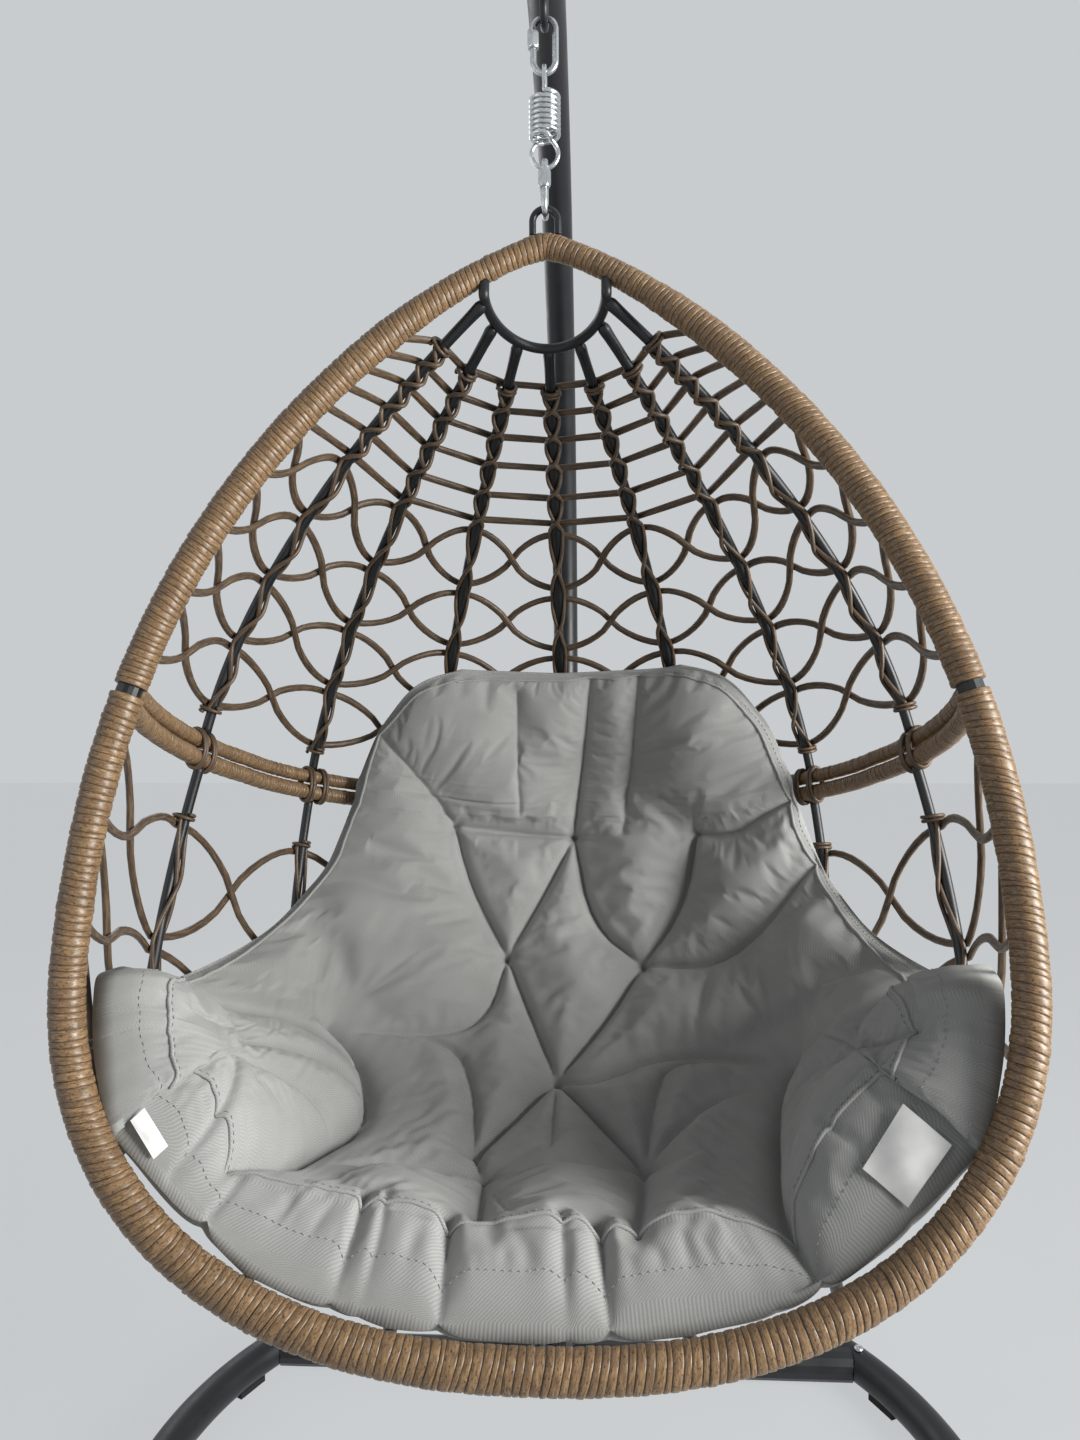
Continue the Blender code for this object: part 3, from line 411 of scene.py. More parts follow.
# ================================================================ the basket's own curves, in its tilted frame
def world(p):
    """From across, back and up in the basket's frame to the room's frame: a turn about the hang line."""
    u, v, w = p[..., 0], p[..., 1], p[..., 2]
    return np.stack([u, HANG_Y + v * math.cos(TILT) + w * math.sin(TILT),
                     APEX_Z - v * math.sin(TILT) + w * math.cos(TILT)], -1)



def bezier(points, t):
    """A cubic curve through its first and last point, drawn towards the two between."""
    a, b, c, d = (np.array(p, float) for p in points)
    t = np.asarray(t)[..., None]
    return (1 - t) ** 3 * a + 3 * (1 - t) ** 2 * t * b + 3 * (1 - t) * t**2 * c + t**3 * d


QUARTER = 400  # points in each half of the half hoop
quarter = np.linspace(0, math.pi / 2, QUARTER)
COS, SIN = np.clip(np.cos(quarter), 0, 1), np.sin(quarter)
# half the hoop: two quarters of superellipses that meet at the widest place
HALF = np.concatenate([
    np.stack([HOOP_WIDE * SIN ** (2 / 1.3), -HOOP_WIDEST * (1 - COS ** (2 / 2.2))], 1),
    np.stack([HOOP_WIDE * COS ** (2 / 2.3), -HOOP_WIDEST - HOOP_FOOT * SIN ** (2 / 2.3)], 1)[1:]])
ALONG = lengths(HALF)
AT_WAIST = float(np.interp(0.517, -HALF[:, 1], ALONG))
AT_END = float(ALONG[-1])
JOINT_U = float(np.interp(AT_WAIST, ALONG, HALF[:, 0]))
# each rib's places at the collar, the waist ring and the foot, from the side to the middle of the back
COLLAR_AT = ((COLLAR_WIDE, 0.012), (0.062, 0.055), (0.036, 0.09), (0.0, COLLAR_DEEP))
RING_AT = ((0.445, 0.27), (0.372, 0.515), (0.205, 0.648), (0.0, RING_BACK))
BOTTOM_AT = (0.4, 0.27, 0.135, 0.0)
BELLY = (0.11, 0.1, 0.06, 0.06)


def on_hoop(run):
    """A point of the hoop's centreline at a run from its top, left of it where the run is below zero."""
    run = np.asarray(run, float)
    u = np.interp(np.abs(run), ALONG, HALF[:, 0]) * np.sign(run)
    return np.stack([u, np.zeros_like(u), np.interp(np.abs(run), ALONG, HALF[:, 1])], -1)


def rim_w_at(u):
    return float(np.interp(u, HALF[: QUARTER - 1 : -1, 0], HALF[: QUARTER - 1 : -1, 1]))


def upper_path(i, t):
    top, ring = np.array(COLLAR_AT[i]), np.array(RING_AT[i])
    run = ring - top
    p0, p3 = np.array((*top, COLLAR_W)), np.array((*ring, BAND_UP_W))
    return bezier((p0, p0 + (*run * 0.42, -0.09), p3 + (*run * -0.12, 0.2), p3), t)


def lower_path(i, t):
    ring = np.array(RING_AT[i])
    out = ring / np.linalg.norm(ring)
    p0, p3 = np.array((*ring, BAND_LOW_W)), np.array((BOTTOM_AT[i], 0, rim_w_at(BOTTOM_AT[i])))
    return bezier((p0, p0 + (*out * BELLY[i], -0.34), p3 + (0.02 if i < 3 else 0, 0.62 * ring[1], -0.05), p3), t)


FINE = 120  # points on each line from collar to waist and from waist to foot
even = np.linspace(0, 1, FINE)
rim_top = float(np.interp(-COLLAR_W, -HALF[:, 1], ALONG))
rim_foot = float(np.interp(-rim_w_at(BOTTOM_AT[0]), -HALF[QUARTER:, 1], ALONG[QUARTER:]))
right_side = [np.concatenate([on_hoop(rim_top + (AT_WAIST - rim_top) * even),
                              on_hoop(AT_WAIST + (rim_foot - AT_WAIST) * even)])]
right_side += [np.concatenate([upper_path(i, even), lower_path(i, even)]) for i in range(4)]
MIRROR = np.array((-1.0, 1, 1))
LINES = np.stack([line * MIRROR for line in right_side[:4]] + right_side[::-1])
LINES = np.concatenate([2 * LINES[:1] - LINES[1:2], LINES, 2 * LINES[-1:] - LINES[-2:-1]])


def gore(s, t, bow):
    """The basket's surface at s (0 and 8 the rims, 1 to 7 the ribs) and t (0 collar, 1 waist, 2 foot): straight from
    line to line where bow is 0, a smooth curve through four lines where it is 1."""
    s, t = np.broadcast_arrays(np.clip(s, 0, 8), np.clip(t, 0, 2))
    place = t * (2 * FINE - 1) / 2
    j = np.minimum(place.astype(int), 2 * FINE - 2)
    g = (place - j)[..., None]
    k = np.minimum(s.astype(int), 7)
    f = (s - k)[..., None]
    a, b, c, d = (LINES[k + n, j] * (1 - g) + LINES[k + n, j + 1] * g for n in range(4))
    flat = b * (1 - f) + c * f
    bent = 0.5 * (2 * b + (c - a) * f + (2 * a - 5 * b + 4 * c - d) * f**2 + (3 * b - a - 3 * c + d) * f**3)
    return flat + (bent - flat) * bow


def outward(s, t):
    """Direction out of the basket: square to two small steps on its surface, away from its middle."""
    n = np.cross(gore(s + 0.6, t, 1) - gore(s - 0.6, t, 1), gore(s, t + 0.03, 1) - gore(s, t - 0.03, 1))
    n = unit(n)
    away = np.sum(n * (gore(s, t, 1) - np.array((0, 0.12, -0.62))), -1, keepdims=True)
    return np.where(away > 0, n, -n)


# ================================================================ wound rims and bands
STRAP_SPOT = np.array((0.0, 0.05, 0.14, 0.3, 0.5, 0.7, 0.86, 0.95))  # the eight rings of a strap, across it
STRAP_RISE = np.array((0.0, 0.55, 0.86, 0.97, 1.0, 0.97, 0.86, 0.55))  # and their height, as a share of its bulge


def winding(name, path, radius, pitch, wrap, sides, across, slot, node):
    """Flat straps wound edge to edge round a bar. Each strap is eight rings: flat in the middle, rounded down at its
    edges, each tilted and raised a little differently. The rings lean by a cosine of the angle round the bar."""
    run = lengths(path)
    count = int(run[-1] / pitch)
    straps = np.arange(count + 1)
    phase = (straps[:-1, None] + STRAP_SPOT).reshape(-1)
    jitter = seeded.normal(0, 1, (count + 1, 4))
    edge = np.clip(straps + 0.12 * jitter[:, 0], 0, count)
    edge[0], edge[-1] = 0, count
    at = np.interp(phase, straps, edge) * run[-1] / count
    own = jitter[np.minimum(phase.astype(int), count)][:, None]
    angle = turns(sides)
    calm = np.clip(np.minimum(at, run[-1] - at) / (3 * pitch), 0, 1)
    slant, toward = (np.interp(phase, straps, np.convolve(jitter[:, c], np.ones(over) / by, "same"))
                     for c, over, by in ((1, 9, 5), (2, 15, 9)))
    lean = calm * pitch * (0.5 + 0.34 * slant)
    along = at[:, None] + lean[:, None] * np.cos(angle - (1.1 + toward)[:, None])
    ahead = unit(walked(unit(np.gradient(path, axis=0)), along, run))
    one = square_to(across, ahead)
    lift = wrap * (np.tile(STRAP_RISE, count) - 1)[:, None] + 0.00022 * own[..., 3]
    lift = lift + 0.0005 * (np.tile(STRAP_SPOT, count) - 0.5)[:, None] * np.cos(2 * angle + own[..., 0])
    thick = np.interp(along, run, radius) + lift
    rings = walked(path, along) + thick[..., None] * circle(angle, one, np.cross(ahead, one))
    uv = wound_map(rings[None], phase[None], 2 * math.pi * float(np.mean(radius)) / MM)
    make(name, world(rings)[None], STRAP, "basket", slot, (node,), uv)


def rim_radius(run):
    """Thinner at the top, thicker at the bottom, with a small flare of extra wraps at the apex."""
    w = on_hoop(run)[..., 2]
    low = np.clip((-w - HOOP_WIDEST) / HOOP_FOOT, 0, 1)
    thick = (0.034 + 0.004 * low**2) / 2
    top = np.clip((w + 0.11) / 0.09, 0, 1)
    return thick - 0.0035 * top + 0.0012 * np.exp(-((run / 0.022) ** 2))


def ring_plan(w):
    """The waist ring seen from above: two cubic curves from the rim to the back, and their mirror."""
    t = np.linspace(0, 1, 160)
    half = np.concatenate([
        bezier(((JOINT_U, 0, w), (JOINT_U + 0.035, 0.11, w), (JOINT_U + 0.045, 0.26, w), (RING_U, 0.38, w)), t),
        bezier(((RING_U, 0.38, w), (0.4, 0.53, w), (0.24, RING_BACK, w), (0, RING_BACK, w)), t)[1:]])
    whole = np.concatenate([half, half[-2::-1] * MIRROR])
    return walked(whole, np.linspace(RIM_R, lengths(whole)[-1] - RIM_R, 1400))


upper_run = np.linspace(-(AT_WAIST - JOINT_HALF), AT_WAIST - JOINT_HALF, 900)
lower_run = np.linspace(AT_WAIST + JOINT_HALF, 2 * AT_END - AT_WAIST - JOINT_HALF, 900)
lower_run = np.where(lower_run > AT_END, -(2 * AT_END - lower_run), lower_run)
upper_line = softened(on_hoop(upper_run), 0.0015, 0.01)
upper_thick = np.interp(lengths(upper_line), lengths(on_hoop(upper_run)), rim_radius(upper_run))
band_up, band_low = ring_plan(BAND_UP_W), ring_plan(BAND_LOW_W)
for name, path, radius, *rest in (
    ("upper_rim", upper_line, upper_thick, 0.0066, 0.0011, 30, Y, "wound_steel"),
    ("lower_rim", on_hoop(lower_run), rim_radius(lower_run), 0.0078, 0.0012, 30, Y, "wound_steel"),
    ("upper_waist_band", band_up, np.full(1400, BAND_UP_R), 0.005, 0.0008, 18, Z, "wound_wicker"),
    ("lower_waist_band", band_low, np.full(1400, BAND_LOW_R), 0.0052, 0.0009, 18, Z, "wound_wicker"),
):
    winding("wound_" + name.replace("waist_", ""), path, radius, *rest, name)

# ================================================================ ribs and collar
for number in range(7):
    i = min(number, 6 - number)
    side = MIRROR if number < 3 else np.ones(3)
    upper = upper_path(i, np.linspace(0, 1, 90)) * side
    at = np.concatenate([np.linspace(0.001, 0.03, 14)[:-1], np.linspace(0.03, lengths(upper)[-1] - BAND_UP_R, 80)])
    weld = RIB_R * (1 + 0.35 * np.exp(-at / 0.012)) * (1 - 0.42 * np.exp(-((at / 0.005) ** 2)))
    rings = world(tube(walked(upper, at), weld, 16, Y + 0.01 * X))
    steel(f"rib_upper_{number + 1}", rings, "basket", f"upper_rib_{number + 1}")
    lower = lower_path(i, np.linspace(0, 1, 90)) * side
    at = np.linspace(BAND_LOW_R, lengths(lower)[-1] - RIM_R, 110)
    rings = world(tube(walked(lower, at), RIB_R, 16, X if i == 3 else Y + Z))
    steel(f"rib_lower_{number + 1}", rings, "basket", f"lower_rib_{number + 1}")

a = np.linspace(0, math.pi, 90)
collar = np.stack([COLLAR_WIDE * np.cos(a), COLLAR_DEEP * np.sin(a), np.full(90, COLLAR_W)], 1)
leg = on_hoop(float(np.interp(COLLAR_WIDE, HALF[:QUARTER, 0], ALONG[:QUARTER])))
leg_in = leg + unit(collar[0] - leg) * 0.0135
collar = softened(np.concatenate([[leg_in], collar, [leg_in * MIRROR]]), 0.002, 0.006)
steel("steel_collar", world(tube(collar, 0.006, 18, Z + 0.3 * Y)), "basket", "collar")


# ================================================================ net
def level(t, s):
    """Rows sit a little lower on the outer ribs."""
    return np.where(t < 1, t + 0.065 * (np.abs(s - 4) / 4) ** 2 * (1 - t) ** 2, t)


def strand(s, t, lift):
    """A strand lies outside the ribs and comes in to the middle of the rims."""
    near = np.sin(np.minimum(np.minimum(s, 8 - s), 1.0) * math.pi / 2)
    return gore(s, t, 0.12) + outward(np.clip(s, 0.4, 7.6), t) * (RIB_OFF * near + lift)[..., None]


across = np.linspace(0, 8, 8 * 14 + 1)


def wave(t0, t1, side):
    """Swings from one row at a rib to the next row at the next: a cosine of s with its flats widened."""
    k = np.cos(math.pi * across)
    ease = 0.5 - 0.5 * side * np.sign(k) * np.abs(k) ** 0.75
    t = level(t0 + 0.011, across) * (1 - ease) + level(t1 - 0.011, across) * ease
    return strand(across, t, 0.0034 * side * np.abs(np.sin(math.pi * across)) ** 2)


def out_of(path):
    return unit(path - np.array((0, 0.1, -0.62)))


def waves(rows):
    return [wave(t0, t1, side) for t0, t1 in zip(rows, rows[1:]) for side in (1, -1)]


rungs = [strand(across, level(np.full_like(across, t), across), np.zeros_like(across)) for t in RUNGS + (SIXTH_RUNG,)]
for word, runs in (("upper", rungs + waves(WAVES_UP)), ("lower", waves(WAVES_LOW))):
    runs = np.stack(runs)
    a = turns(12)
    oval = STRAND_R * STRAND_WIDE / np.hypot(STRAND_WIDE * np.cos(a), STRAND_R * np.sin(a))
    thick = oval * (1 + 0.05 * np.sin(lengths(runs) / 0.021))[..., None]
    wicker(f"{word}_net_strands", tube(runs, thick, 12, out_of(runs)),
           [f"{word}_net_{side}" for side in ("left", "back_left", "back_right", "right")])


def ties(word, nodes):
    """Two strands go down each rib, mirrored: beside it at every row, where they hold the net's strands, and crossed
    in front of it half way between. Sideways they follow a triangle wave with slightly rounded corners."""
    t = np.linspace(nodes[0], nodes[-1], 40 * (len(nodes) - 1) + 1)
    count = np.interp(t, nodes, np.arange(len(nodes)))
    aside = np.arcsin(0.985 * np.cos(math.pi * count)) / math.asin(0.985)
    runs = []
    for k in range(1, 8):
        s = np.full_like(t, k)
        at = level(t, s)
        spine = gore(s, at, 0)
        ahead = unit(np.gradient(spine, axis=0))
        out = square_to(outward(s, at), ahead)
        for sign in (1, -1):
            over = 0.0036 * np.clip(sign * np.sin(math.pi * count), 0, 1) ** 6
            far = (RIB_R + TIE_R * 0.8 + over)[:, None]
            runs.append(spine + far * circle(sign * 1.72 * aside, -out, np.cross(ahead, out)))
    runs = np.stack(runs)
    wicker(f"{word}_rib_ties", tube(runs, TIE_R, 8, out_of(runs)))


ties("upper", RUNGS + WAVES_UP)
ties("lower", WAVES_LOW)


def knots(name, rows):
    """A strand wound one and a half times round a rib and its ties where they begin and end: an oval helix."""
    runs = []
    a = np.linspace(-0.2 * math.pi, 3.4 * math.pi, 40)
    for k in range(1, 8):
        for t in rows:
            s, at = np.full(3, float(k)), t + np.array((-0.004, 0, 0.004))
            line = gore(s, level(at, s), 0)
            ahead = unit(line[2] - line[0])
            out = square_to(outward(s, at)[1], ahead)
            rise = (a / (3.2 * math.pi) - 0.5) * 0.008
            runs.append(line[1] + out * 0.0024 + circle(a, -0.0128 * out, 0.0112 * np.cross(ahead, out))
                        + rise[:, None] * ahead)
    runs = np.stack(runs)
    wicker(name, tube(runs, 0.0024, 6, unit(runs - runs.mean(1, keepdims=True))))


knots("net_knots", (RUNGS[0], WAVES_UP[-1], WAVES_LOW[0], WAVES_LOW[-1]))


def band_loops():
    """Strand looped round both waist bands on each side of every rib: ovals in the plane square to the bands."""
    runs = []
    a = turns(36)
    for number in range(7):
        ring = np.array(RING_AT[min(number, 6 - number)]) * (-1 if number < 3 else 1, 1)
        near = np.argmin(np.linalg.norm(band_up[:, :2] - ring, axis=1))
        ahead = unit(band_up[near + 6] - band_up[near - 6])
        for off in (-0.015, -0.0096, 0.0096, 0.015):
            middle = np.array((*band_up[near, :2], (BAND_UP_W + BAND_LOW_W) / 2 - 0.0007)) + ahead * off
            sway = 0.0012 * np.sin(a + number)[:, None] * ahead
            runs.append(middle + circle(a, 0.0134 * np.cross(ahead, Z), 0.0252 * Z) + sway)
    runs = np.stack(runs)
    closed = np.concatenate([runs[:, -1:], runs, runs[:, :1]], 1)
    rings = tube(closed, 0.0026, 7, unit(closed - runs.mean(1, keepdims=True)))[:, 1:-1]
    uv = wound_map(rings, np.broadcast_to(np.linspace(0, 90, 36), (len(runs), 36)))
    wicker("band_loops", rings, uv=uv, ends="loop")


band_loops()

# ================================================================ stand
arch_mid = np.array((0, HANG_Y - 0.01, ARCH_Z))
arch = arc(arch_mid, ARCH_R, -POLE_LEAN, 97, 150, Y, Z)
last = np.array((0, -math.sin(math.radians(97)), math.cos(math.radians(97))))
steel("bent_pole", tube(np.concatenate([arch, [arch[-1] + last * 0.006]]), POLE_R, 40, X), "stand", "pole_arch")

lean = math.radians(POLE_LEAN)
joint = arch_mid + ARCH_R * np.array((0, math.cos(lean), -math.sin(lean)))
bar_y = joint[1] - (joint[2] - BASE_Z) * math.tan(lean)
arm_side = math.sqrt(ARM_R**2 - BAR_HALF**2)
arm_y = bar_y - arm_side
rear = math.degrees(math.asin((arm_side + ARM_PAST) / ARM_R))
for word, sign in (("left", -1), ("right", 1)):
    bend = arc((ARMS_APART, arm_y, BASE_Z), ARM_R, rear, -90, 120, X, Y)
    run = np.concatenate([bend, [(0.0003, arm_y - ARM_R, BASE_Z)]]) * (sign, 1, 1)
    steel(f"bent_arm_{word}", tube(run, BASE_R, 36, Z), "stand", f"base_arm_{word}")

def u_bend(mid, radius, flat, half_turn, leg):
    """Half a circle with a straight leg at each end, up to a height from its middle."""
    ends = [mid + flat * radius * side + Z * leg for side in (1, -1)]
    return np.concatenate([ends[:1], arc(mid, radius, 0, half_turn, 60, flat, Z), ends[1:]])


hook_mid = np.array((0, HANG_Y, HOOK_LOW + HOOK_R))
arch_under = ARCH_Z + math.sqrt(ARCH_R**2 - 0.01**2) - POLE_R - 0.0003
hook = u_bend(hook_mid, HOOK_R, Y, -180, arch_under - hook_mid[2])
steel("bent_hook", tube(softened(hook, 0.0012, 0.002), 0.0045, 20, X), "stand", "stand_hook")


def hexagon(a):
    """How far out a hexagon's side is at an angle, where its flats are one from the middle."""
    return 1 / np.cos((a + math.pi / 6) % (math.pi / 3) - math.pi / 6)


def bolt(node, axis):
    """A button-head bolt turned about its axis: rounded dome, hexagon socket, flat under the head."""
    low, high = (np.array(c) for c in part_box(node))
    reach = (high if axis.sum() > 0 else low) @ np.abs(axis)
    middle = (low + high) / 2
    seat = middle + axis * (reach * np.sign(axis.sum()) - middle @ axis) - axis * 0.0045
    one = Z if abs(axis @ Z) < 0.5 else X
    a = turns(48)
    dome = zip((0.25, 0.97, 1.0, 0.985, 0.93, 0.82, 0.68, 0.52), (0.0, 0.0, 0.12, 0.38, 0.62, 0.84, 0.96, 1.0))
    profile = [(np.full(48, f), h * 0.0044) for f, h in dome]
    profile += [(f * math.cos(math.pi / 6) * hexagon(a), h)
                for f, h in ((0.36, 0.0044), (0.34, 0.0042), (0.33, 0.0018), (0.05, 0.0016))]
    rings = [0.0075 * f[:, None] * circle(a, one, np.cross(axis, one)) + h * axis for f, h in profile]
    make("button_" + node, np.stack(rings) + seat, ZINC, "stand", "zinc_plate", (node,), smooth=35)


for node, axis in (("sleeve_bolt_left", -Y), ("sleeve_bolt_right", -Y), ("base_bolt_left", Z), ("base_bolt_right", Z),
                   ("pole_joint_bolt", X), ("pole_socket_bolt", X)):
    bolt(node, axis)


# ================================================================ links, nuts, spring and loop
def link(name, top, flat, node):
    """An oval of round bar: two half circles joined by straight legs, with the gap in one leg inside its nut."""
    mid = np.array((0, HANG_Y, 0))
    up, low = mid + Z * (top - LINK_BEND), mid + Z * (top - LINK_LONG + LINK_BEND)
    spot = mid + flat * LINK_BEND + Z * (top - LINK_BEND - LINK_GAP)
    run = np.concatenate([[spot + Z * LINK_GAP / 2], arc(up, LINK_BEND, 0, 180, 40, flat, Z),
                          arc(low, LINK_BEND, 180, 360, 40, flat, Z), [spot - Z * LINK_GAP / 2]])
    bar = tube(softened(run, 0.0009, 0.0015), LINK_WIRE_R, 20, np.cross(flat, Z))
    make(name, bar, ZINC, node, "zinc_plate", (node,))
    h = np.array((-10, -9.9, -9.4, -8.2, -6.6, 0, 6.6, 8.2, 9.4, 9.9, 10)) * MM
    a = turns(72)
    cone = np.interp(np.abs(h), (0, 0.0066, 0.0099, 0.01), (0.008, 0.00735, 0.0059, 0.0054))
    bore = np.full((1, 72), 0.0037)
    radius = np.concatenate([bore, np.minimum(0.00615 * hexagon(a), cone[:, None]), bore])
    h = np.concatenate([h[:1], h, h[-1:]])
    rings = spot + radius[..., None] * circle(a, flat, np.cross(Z, flat)) + h[:, None, None] * Z
    make(name + "_hex_nut", rings, ZINC, node + "_nut", "zinc_plate", (node + "_nut",), ends="loop", smooth=25)


link("bent_upper_link", UPPER_LINK_TOP, -X, "upper_link")
link("bent_lower_link", LOWER_LINK_TOP, -Y, "lower_link")

hook_z = SPRING_TOP - SPRING_HOOK_R
coil_top = hook_z - 0.021
coil_low = coil_top - COIL_TURNS * COIL_PITCH
turn = np.linspace(0, COIL_TURNS * 2 * math.pi, COIL_TURNS * 60 + 1)
coil = circle(turn - math.pi / 2, COIL_R * X, COIL_R * Y) + (coil_top - COIL_PITCH * turn / (2 * math.pi))[:, None] * Z
end_ring = arc((0, 0, RING_MID), END_RING_R, 62, -262, 90, X, Z)
end_ring[:, 1] += np.interp(np.arange(90), (0, 10, 78, 89), (-0.006, 0, 0, 0.006))
spring = np.concatenate([
    arc((0, 0, hook_z), SPRING_HOOK_R, -55, 180, 60, Y, Z),
    [(0, -SPRING_HOOK_R, hook_z - 0.006), (0.0005, -0.012, hook_z - 0.012)], coil,
    [(0.006, -COIL_R * 0.8, coil_low - 0.0035)], end_ring])
spring = softened(spring, 0.001, 0.0035) + (0, HANG_Y, 0)
facing = np.stack([np.interp(spring[:, 2], (coil_low - 0.012, coil_low - 0.002, coil_top + 0.002, coil_top + 0.01), v)
                   for v in ((0, 0, 0, 1), (1, 0, 0, 0), (0, 1, 1, 0))], 1)
coiled = make("coiled_spring", tube(spring, 0.0025, 16, unit(facing + 1e-3)), WIRE, None, "chrome_spring",
              ("spring",))
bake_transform(coiled)

loop = softened(u_bend(-LOOP_HALF * Z, LOOP_HALF, X, 180, LOOP_HALF - 0.0285), 0.0012, 0.003)
steel("bent_loop", tube(loop + (0, HANG_Y, LOOP_TOP), 0.004, 18, Y), "basket", "basket_loop")

# ================================================================ cushion
CUSHION_T = (0.66, 1.985)  # from the top of the back to the front edge
START = 0.97  # the share of the thickness that is drawn; the simulated cloth swells over it
PRESSURE, GROWTH, FRAMES, MOVE_CAP = 10.0, 0.035, 22, 0.028  # of the cloth; the cap is in metres
SHEET = (190, 206)  # points across and along the simulated cloth
# half width in ribs at each t, how far its middle lies to the right, and thickness in metres
HALF_T = (0.66, 0.675, 0.7, 0.74, 0.85, 1.0, 1.12, 1.22, 1.32, 1.44, 1.6, 2.0)
HALF_S = (1.04, 1.24, 1.4, 1.53, 1.72, 1.86, 2.0, 2.35, 2.95, 3.55, 3.88, 3.9)
HALF_AT = np.linspace(0.66, 2.0, 269)
bell = np.hanning(23)[1:-1] / np.hanning(23).sum()
HALF_WIDE = np.convolve(np.pad(np.interp(HALF_AT, HALF_T, HALF_S), 10, "reflect", reflect_type="odd"), bell, "valid")
LEAN_T, LEAN_S = (0.66, 1.1, 1.6, 2.0), (0.12, 0.12, 0.0, 0.0)
THICK_T = (0.66, 0.8, 1.0, 1.2, 1.4, 1.6, 1.8, 1.9, 2.0)
THICK_M = (0.055, 0.078, 0.085, 0.088, 0.098, 0.105, 0.102, 0.11, 0.105)
T1, T2, T3 = (-0.89, 1.037), (0.12, 1.052), (1.18, 1.05)
T4, T5, T6 = (-0.41, 1.279), (0.67, 1.293), (0.02, 1.531)
S1, S2, S3 = (-0.59, 1.704), (-0.5, 1.751), (0.75, 1.727)
# stitched-down points: place, depth and reach in millimetres
TUFTS = ((T1, 20, 20), (T2, 26, 22), (T3, 20, 20), (T4, 26, 22), (T5, 28, 22), (T6, 30, 24), (S1, 24, 20),
         (S2, 30, 24), (S3, 32, 26))
# creases: points, depth at the first and at the last, and reach, in millimetres
CREASES = (
    (T1, T2, 11, 11, 13), (T1, (-1.57, 0.852), 10, 4, 12), (T3, (1.52, 1.055), (1.99, 1.004), 13, 7, 13),
    (T1, (-0.72, 1.146), T4, 13, 13, 13), (T2, T4, 11, 11, 12), (T2, (0.26, 1.216), T5, 13, 13, 12),
    (T3, (1.02, 1.181), T5, 13, 13, 12), (T4, (-0.54, 1.401), (-0.87, 1.452), (-1.8, 1.448), 14, 6, 13),
    (T5, (1.3, 1.303), (1.78, 1.212), (2.1, 1.108), 14, 6, 13), (T4, (-0.2, 1.409), T6, 13, 13, 12),
    (T5, (0.4, 1.409), T6, 13, 13, 12), (T6, (0.29, 1.552), (0.88, 1.48), (2.01, 1.514), 13, 9, 13),
    (T6, (0.0, 1.761), 10, 1, 11), (T6, S1, 16, 16, 12), (T6, S3, 16, 16, 12), (S1, S2, 14, 14, 12),
    (S1, (-0.64, 1.563), (-0.83, 1.46), (-1.89, 1.441), 12, 7, 12), (S2, (-1.79, 1.789), 13, 6, 13),
    (S2, (-0.47, 1.934), 13, 9, 12), (S2, (-0.21, 1.936), 8, 2, 9), (S2, (0.02, 1.764), 8, 2, 10),
    (S3, (0.28, 1.77), 8, 2, 10), (S3, (0.8, 1.59), (0.91, 1.491), (2.01, 1.522), 12, 8, 12),
    (S3, (0.75, 1.951), 13, 9, 12), (S3, (1.3, 1.597), (1.91, 1.567), 11, 5, 12), ((0.29, 0.667), T2, 7, 12, 14),
    ((0.74, 0.669), (0.55, 1.041), 6, 3, 15), ((-0.39, 0.697), (-0.35, 1.001), 4, 2, 13),
    ((-1.89, 1.441), (-1.56, 1.518), (-1.48, 1.641), (-1.96, 1.744), (-2.42, 1.948), 24, 16, 24),
    ((2.01, 1.522), (1.83, 1.626), (1.9, 1.859), (1.92, 1.978), 24, 18, 24), ((-2.59, 1.99), (-2.95, 1.8), 12, 2, 12),
    ((-2.59, 1.99), (-2.35, 1.86), 9, 1, 11), ((-3.6, 1.62), (-2.7, 1.48), 5, 2, 12),
    ((1.92, 1.985), (2.45, 1.8), 10, 2, 12), ((-1.66, 1.6), (-2.35, 1.56), (-3.1, 1.61), 17, 5, 15),
    ((1.92, 1.68), (2.6, 1.64), (3.2, 1.7), 9, 2, 14), ((-1.85, 1.7), (-2.5, 1.69), (-3.2, 1.77), 13, 3, 15),
    ((3.7, 1.7), (2.6, 1.54), 5, 2, 12), ((-3.3, 1.36), (-2.75, 1.4), (-2.25, 1.47), (-1.7, 1.53), 16, 22, 16),
    ((-1.48, 1.641), (-0.95, 1.6), 7, 1, 12),
)
# short puckers across the front roll: place along it, depth and reach in millimetres
PUCKERS = ((-2.35, 22, 10), (-1.42, 13, 9), (-1.22, 5, 8), (-0.68, 20, 10), (0.18, 6, 8), (0.47, 22, 10), (1.58, 7, 8),
           (1.92, 22, 10), (2.5, 6, 9))
# the inner edges of the two side bolsters, as s - 4 at each t, and how much they rise above the seat
BOLSTER_T = (1.441, 1.518, 1.641, 1.744, 1.948)
BOLSTER_LEFT, BOLSTER_RIGHT = (-1.89, -1.56, -1.48, -1.96, -2.42), (2.1, 2.01, 1.83, 1.86, 1.91)
BOLSTER_RISE, ROLL_RISE = 0.034, 0.02


def on_pad(a, b):
    """Places s and t on the cushion from -1 to 1 across and along it."""
    t = CUSHION_T[0] + (CUSHION_T[1] - CUSHION_T[0]) * (b + 1) / 2 + 0 * a
    return 4 + a * np.interp(t, HALF_AT, HALF_WIDE) + np.interp(t, LEAN_T, LEAN_S), t


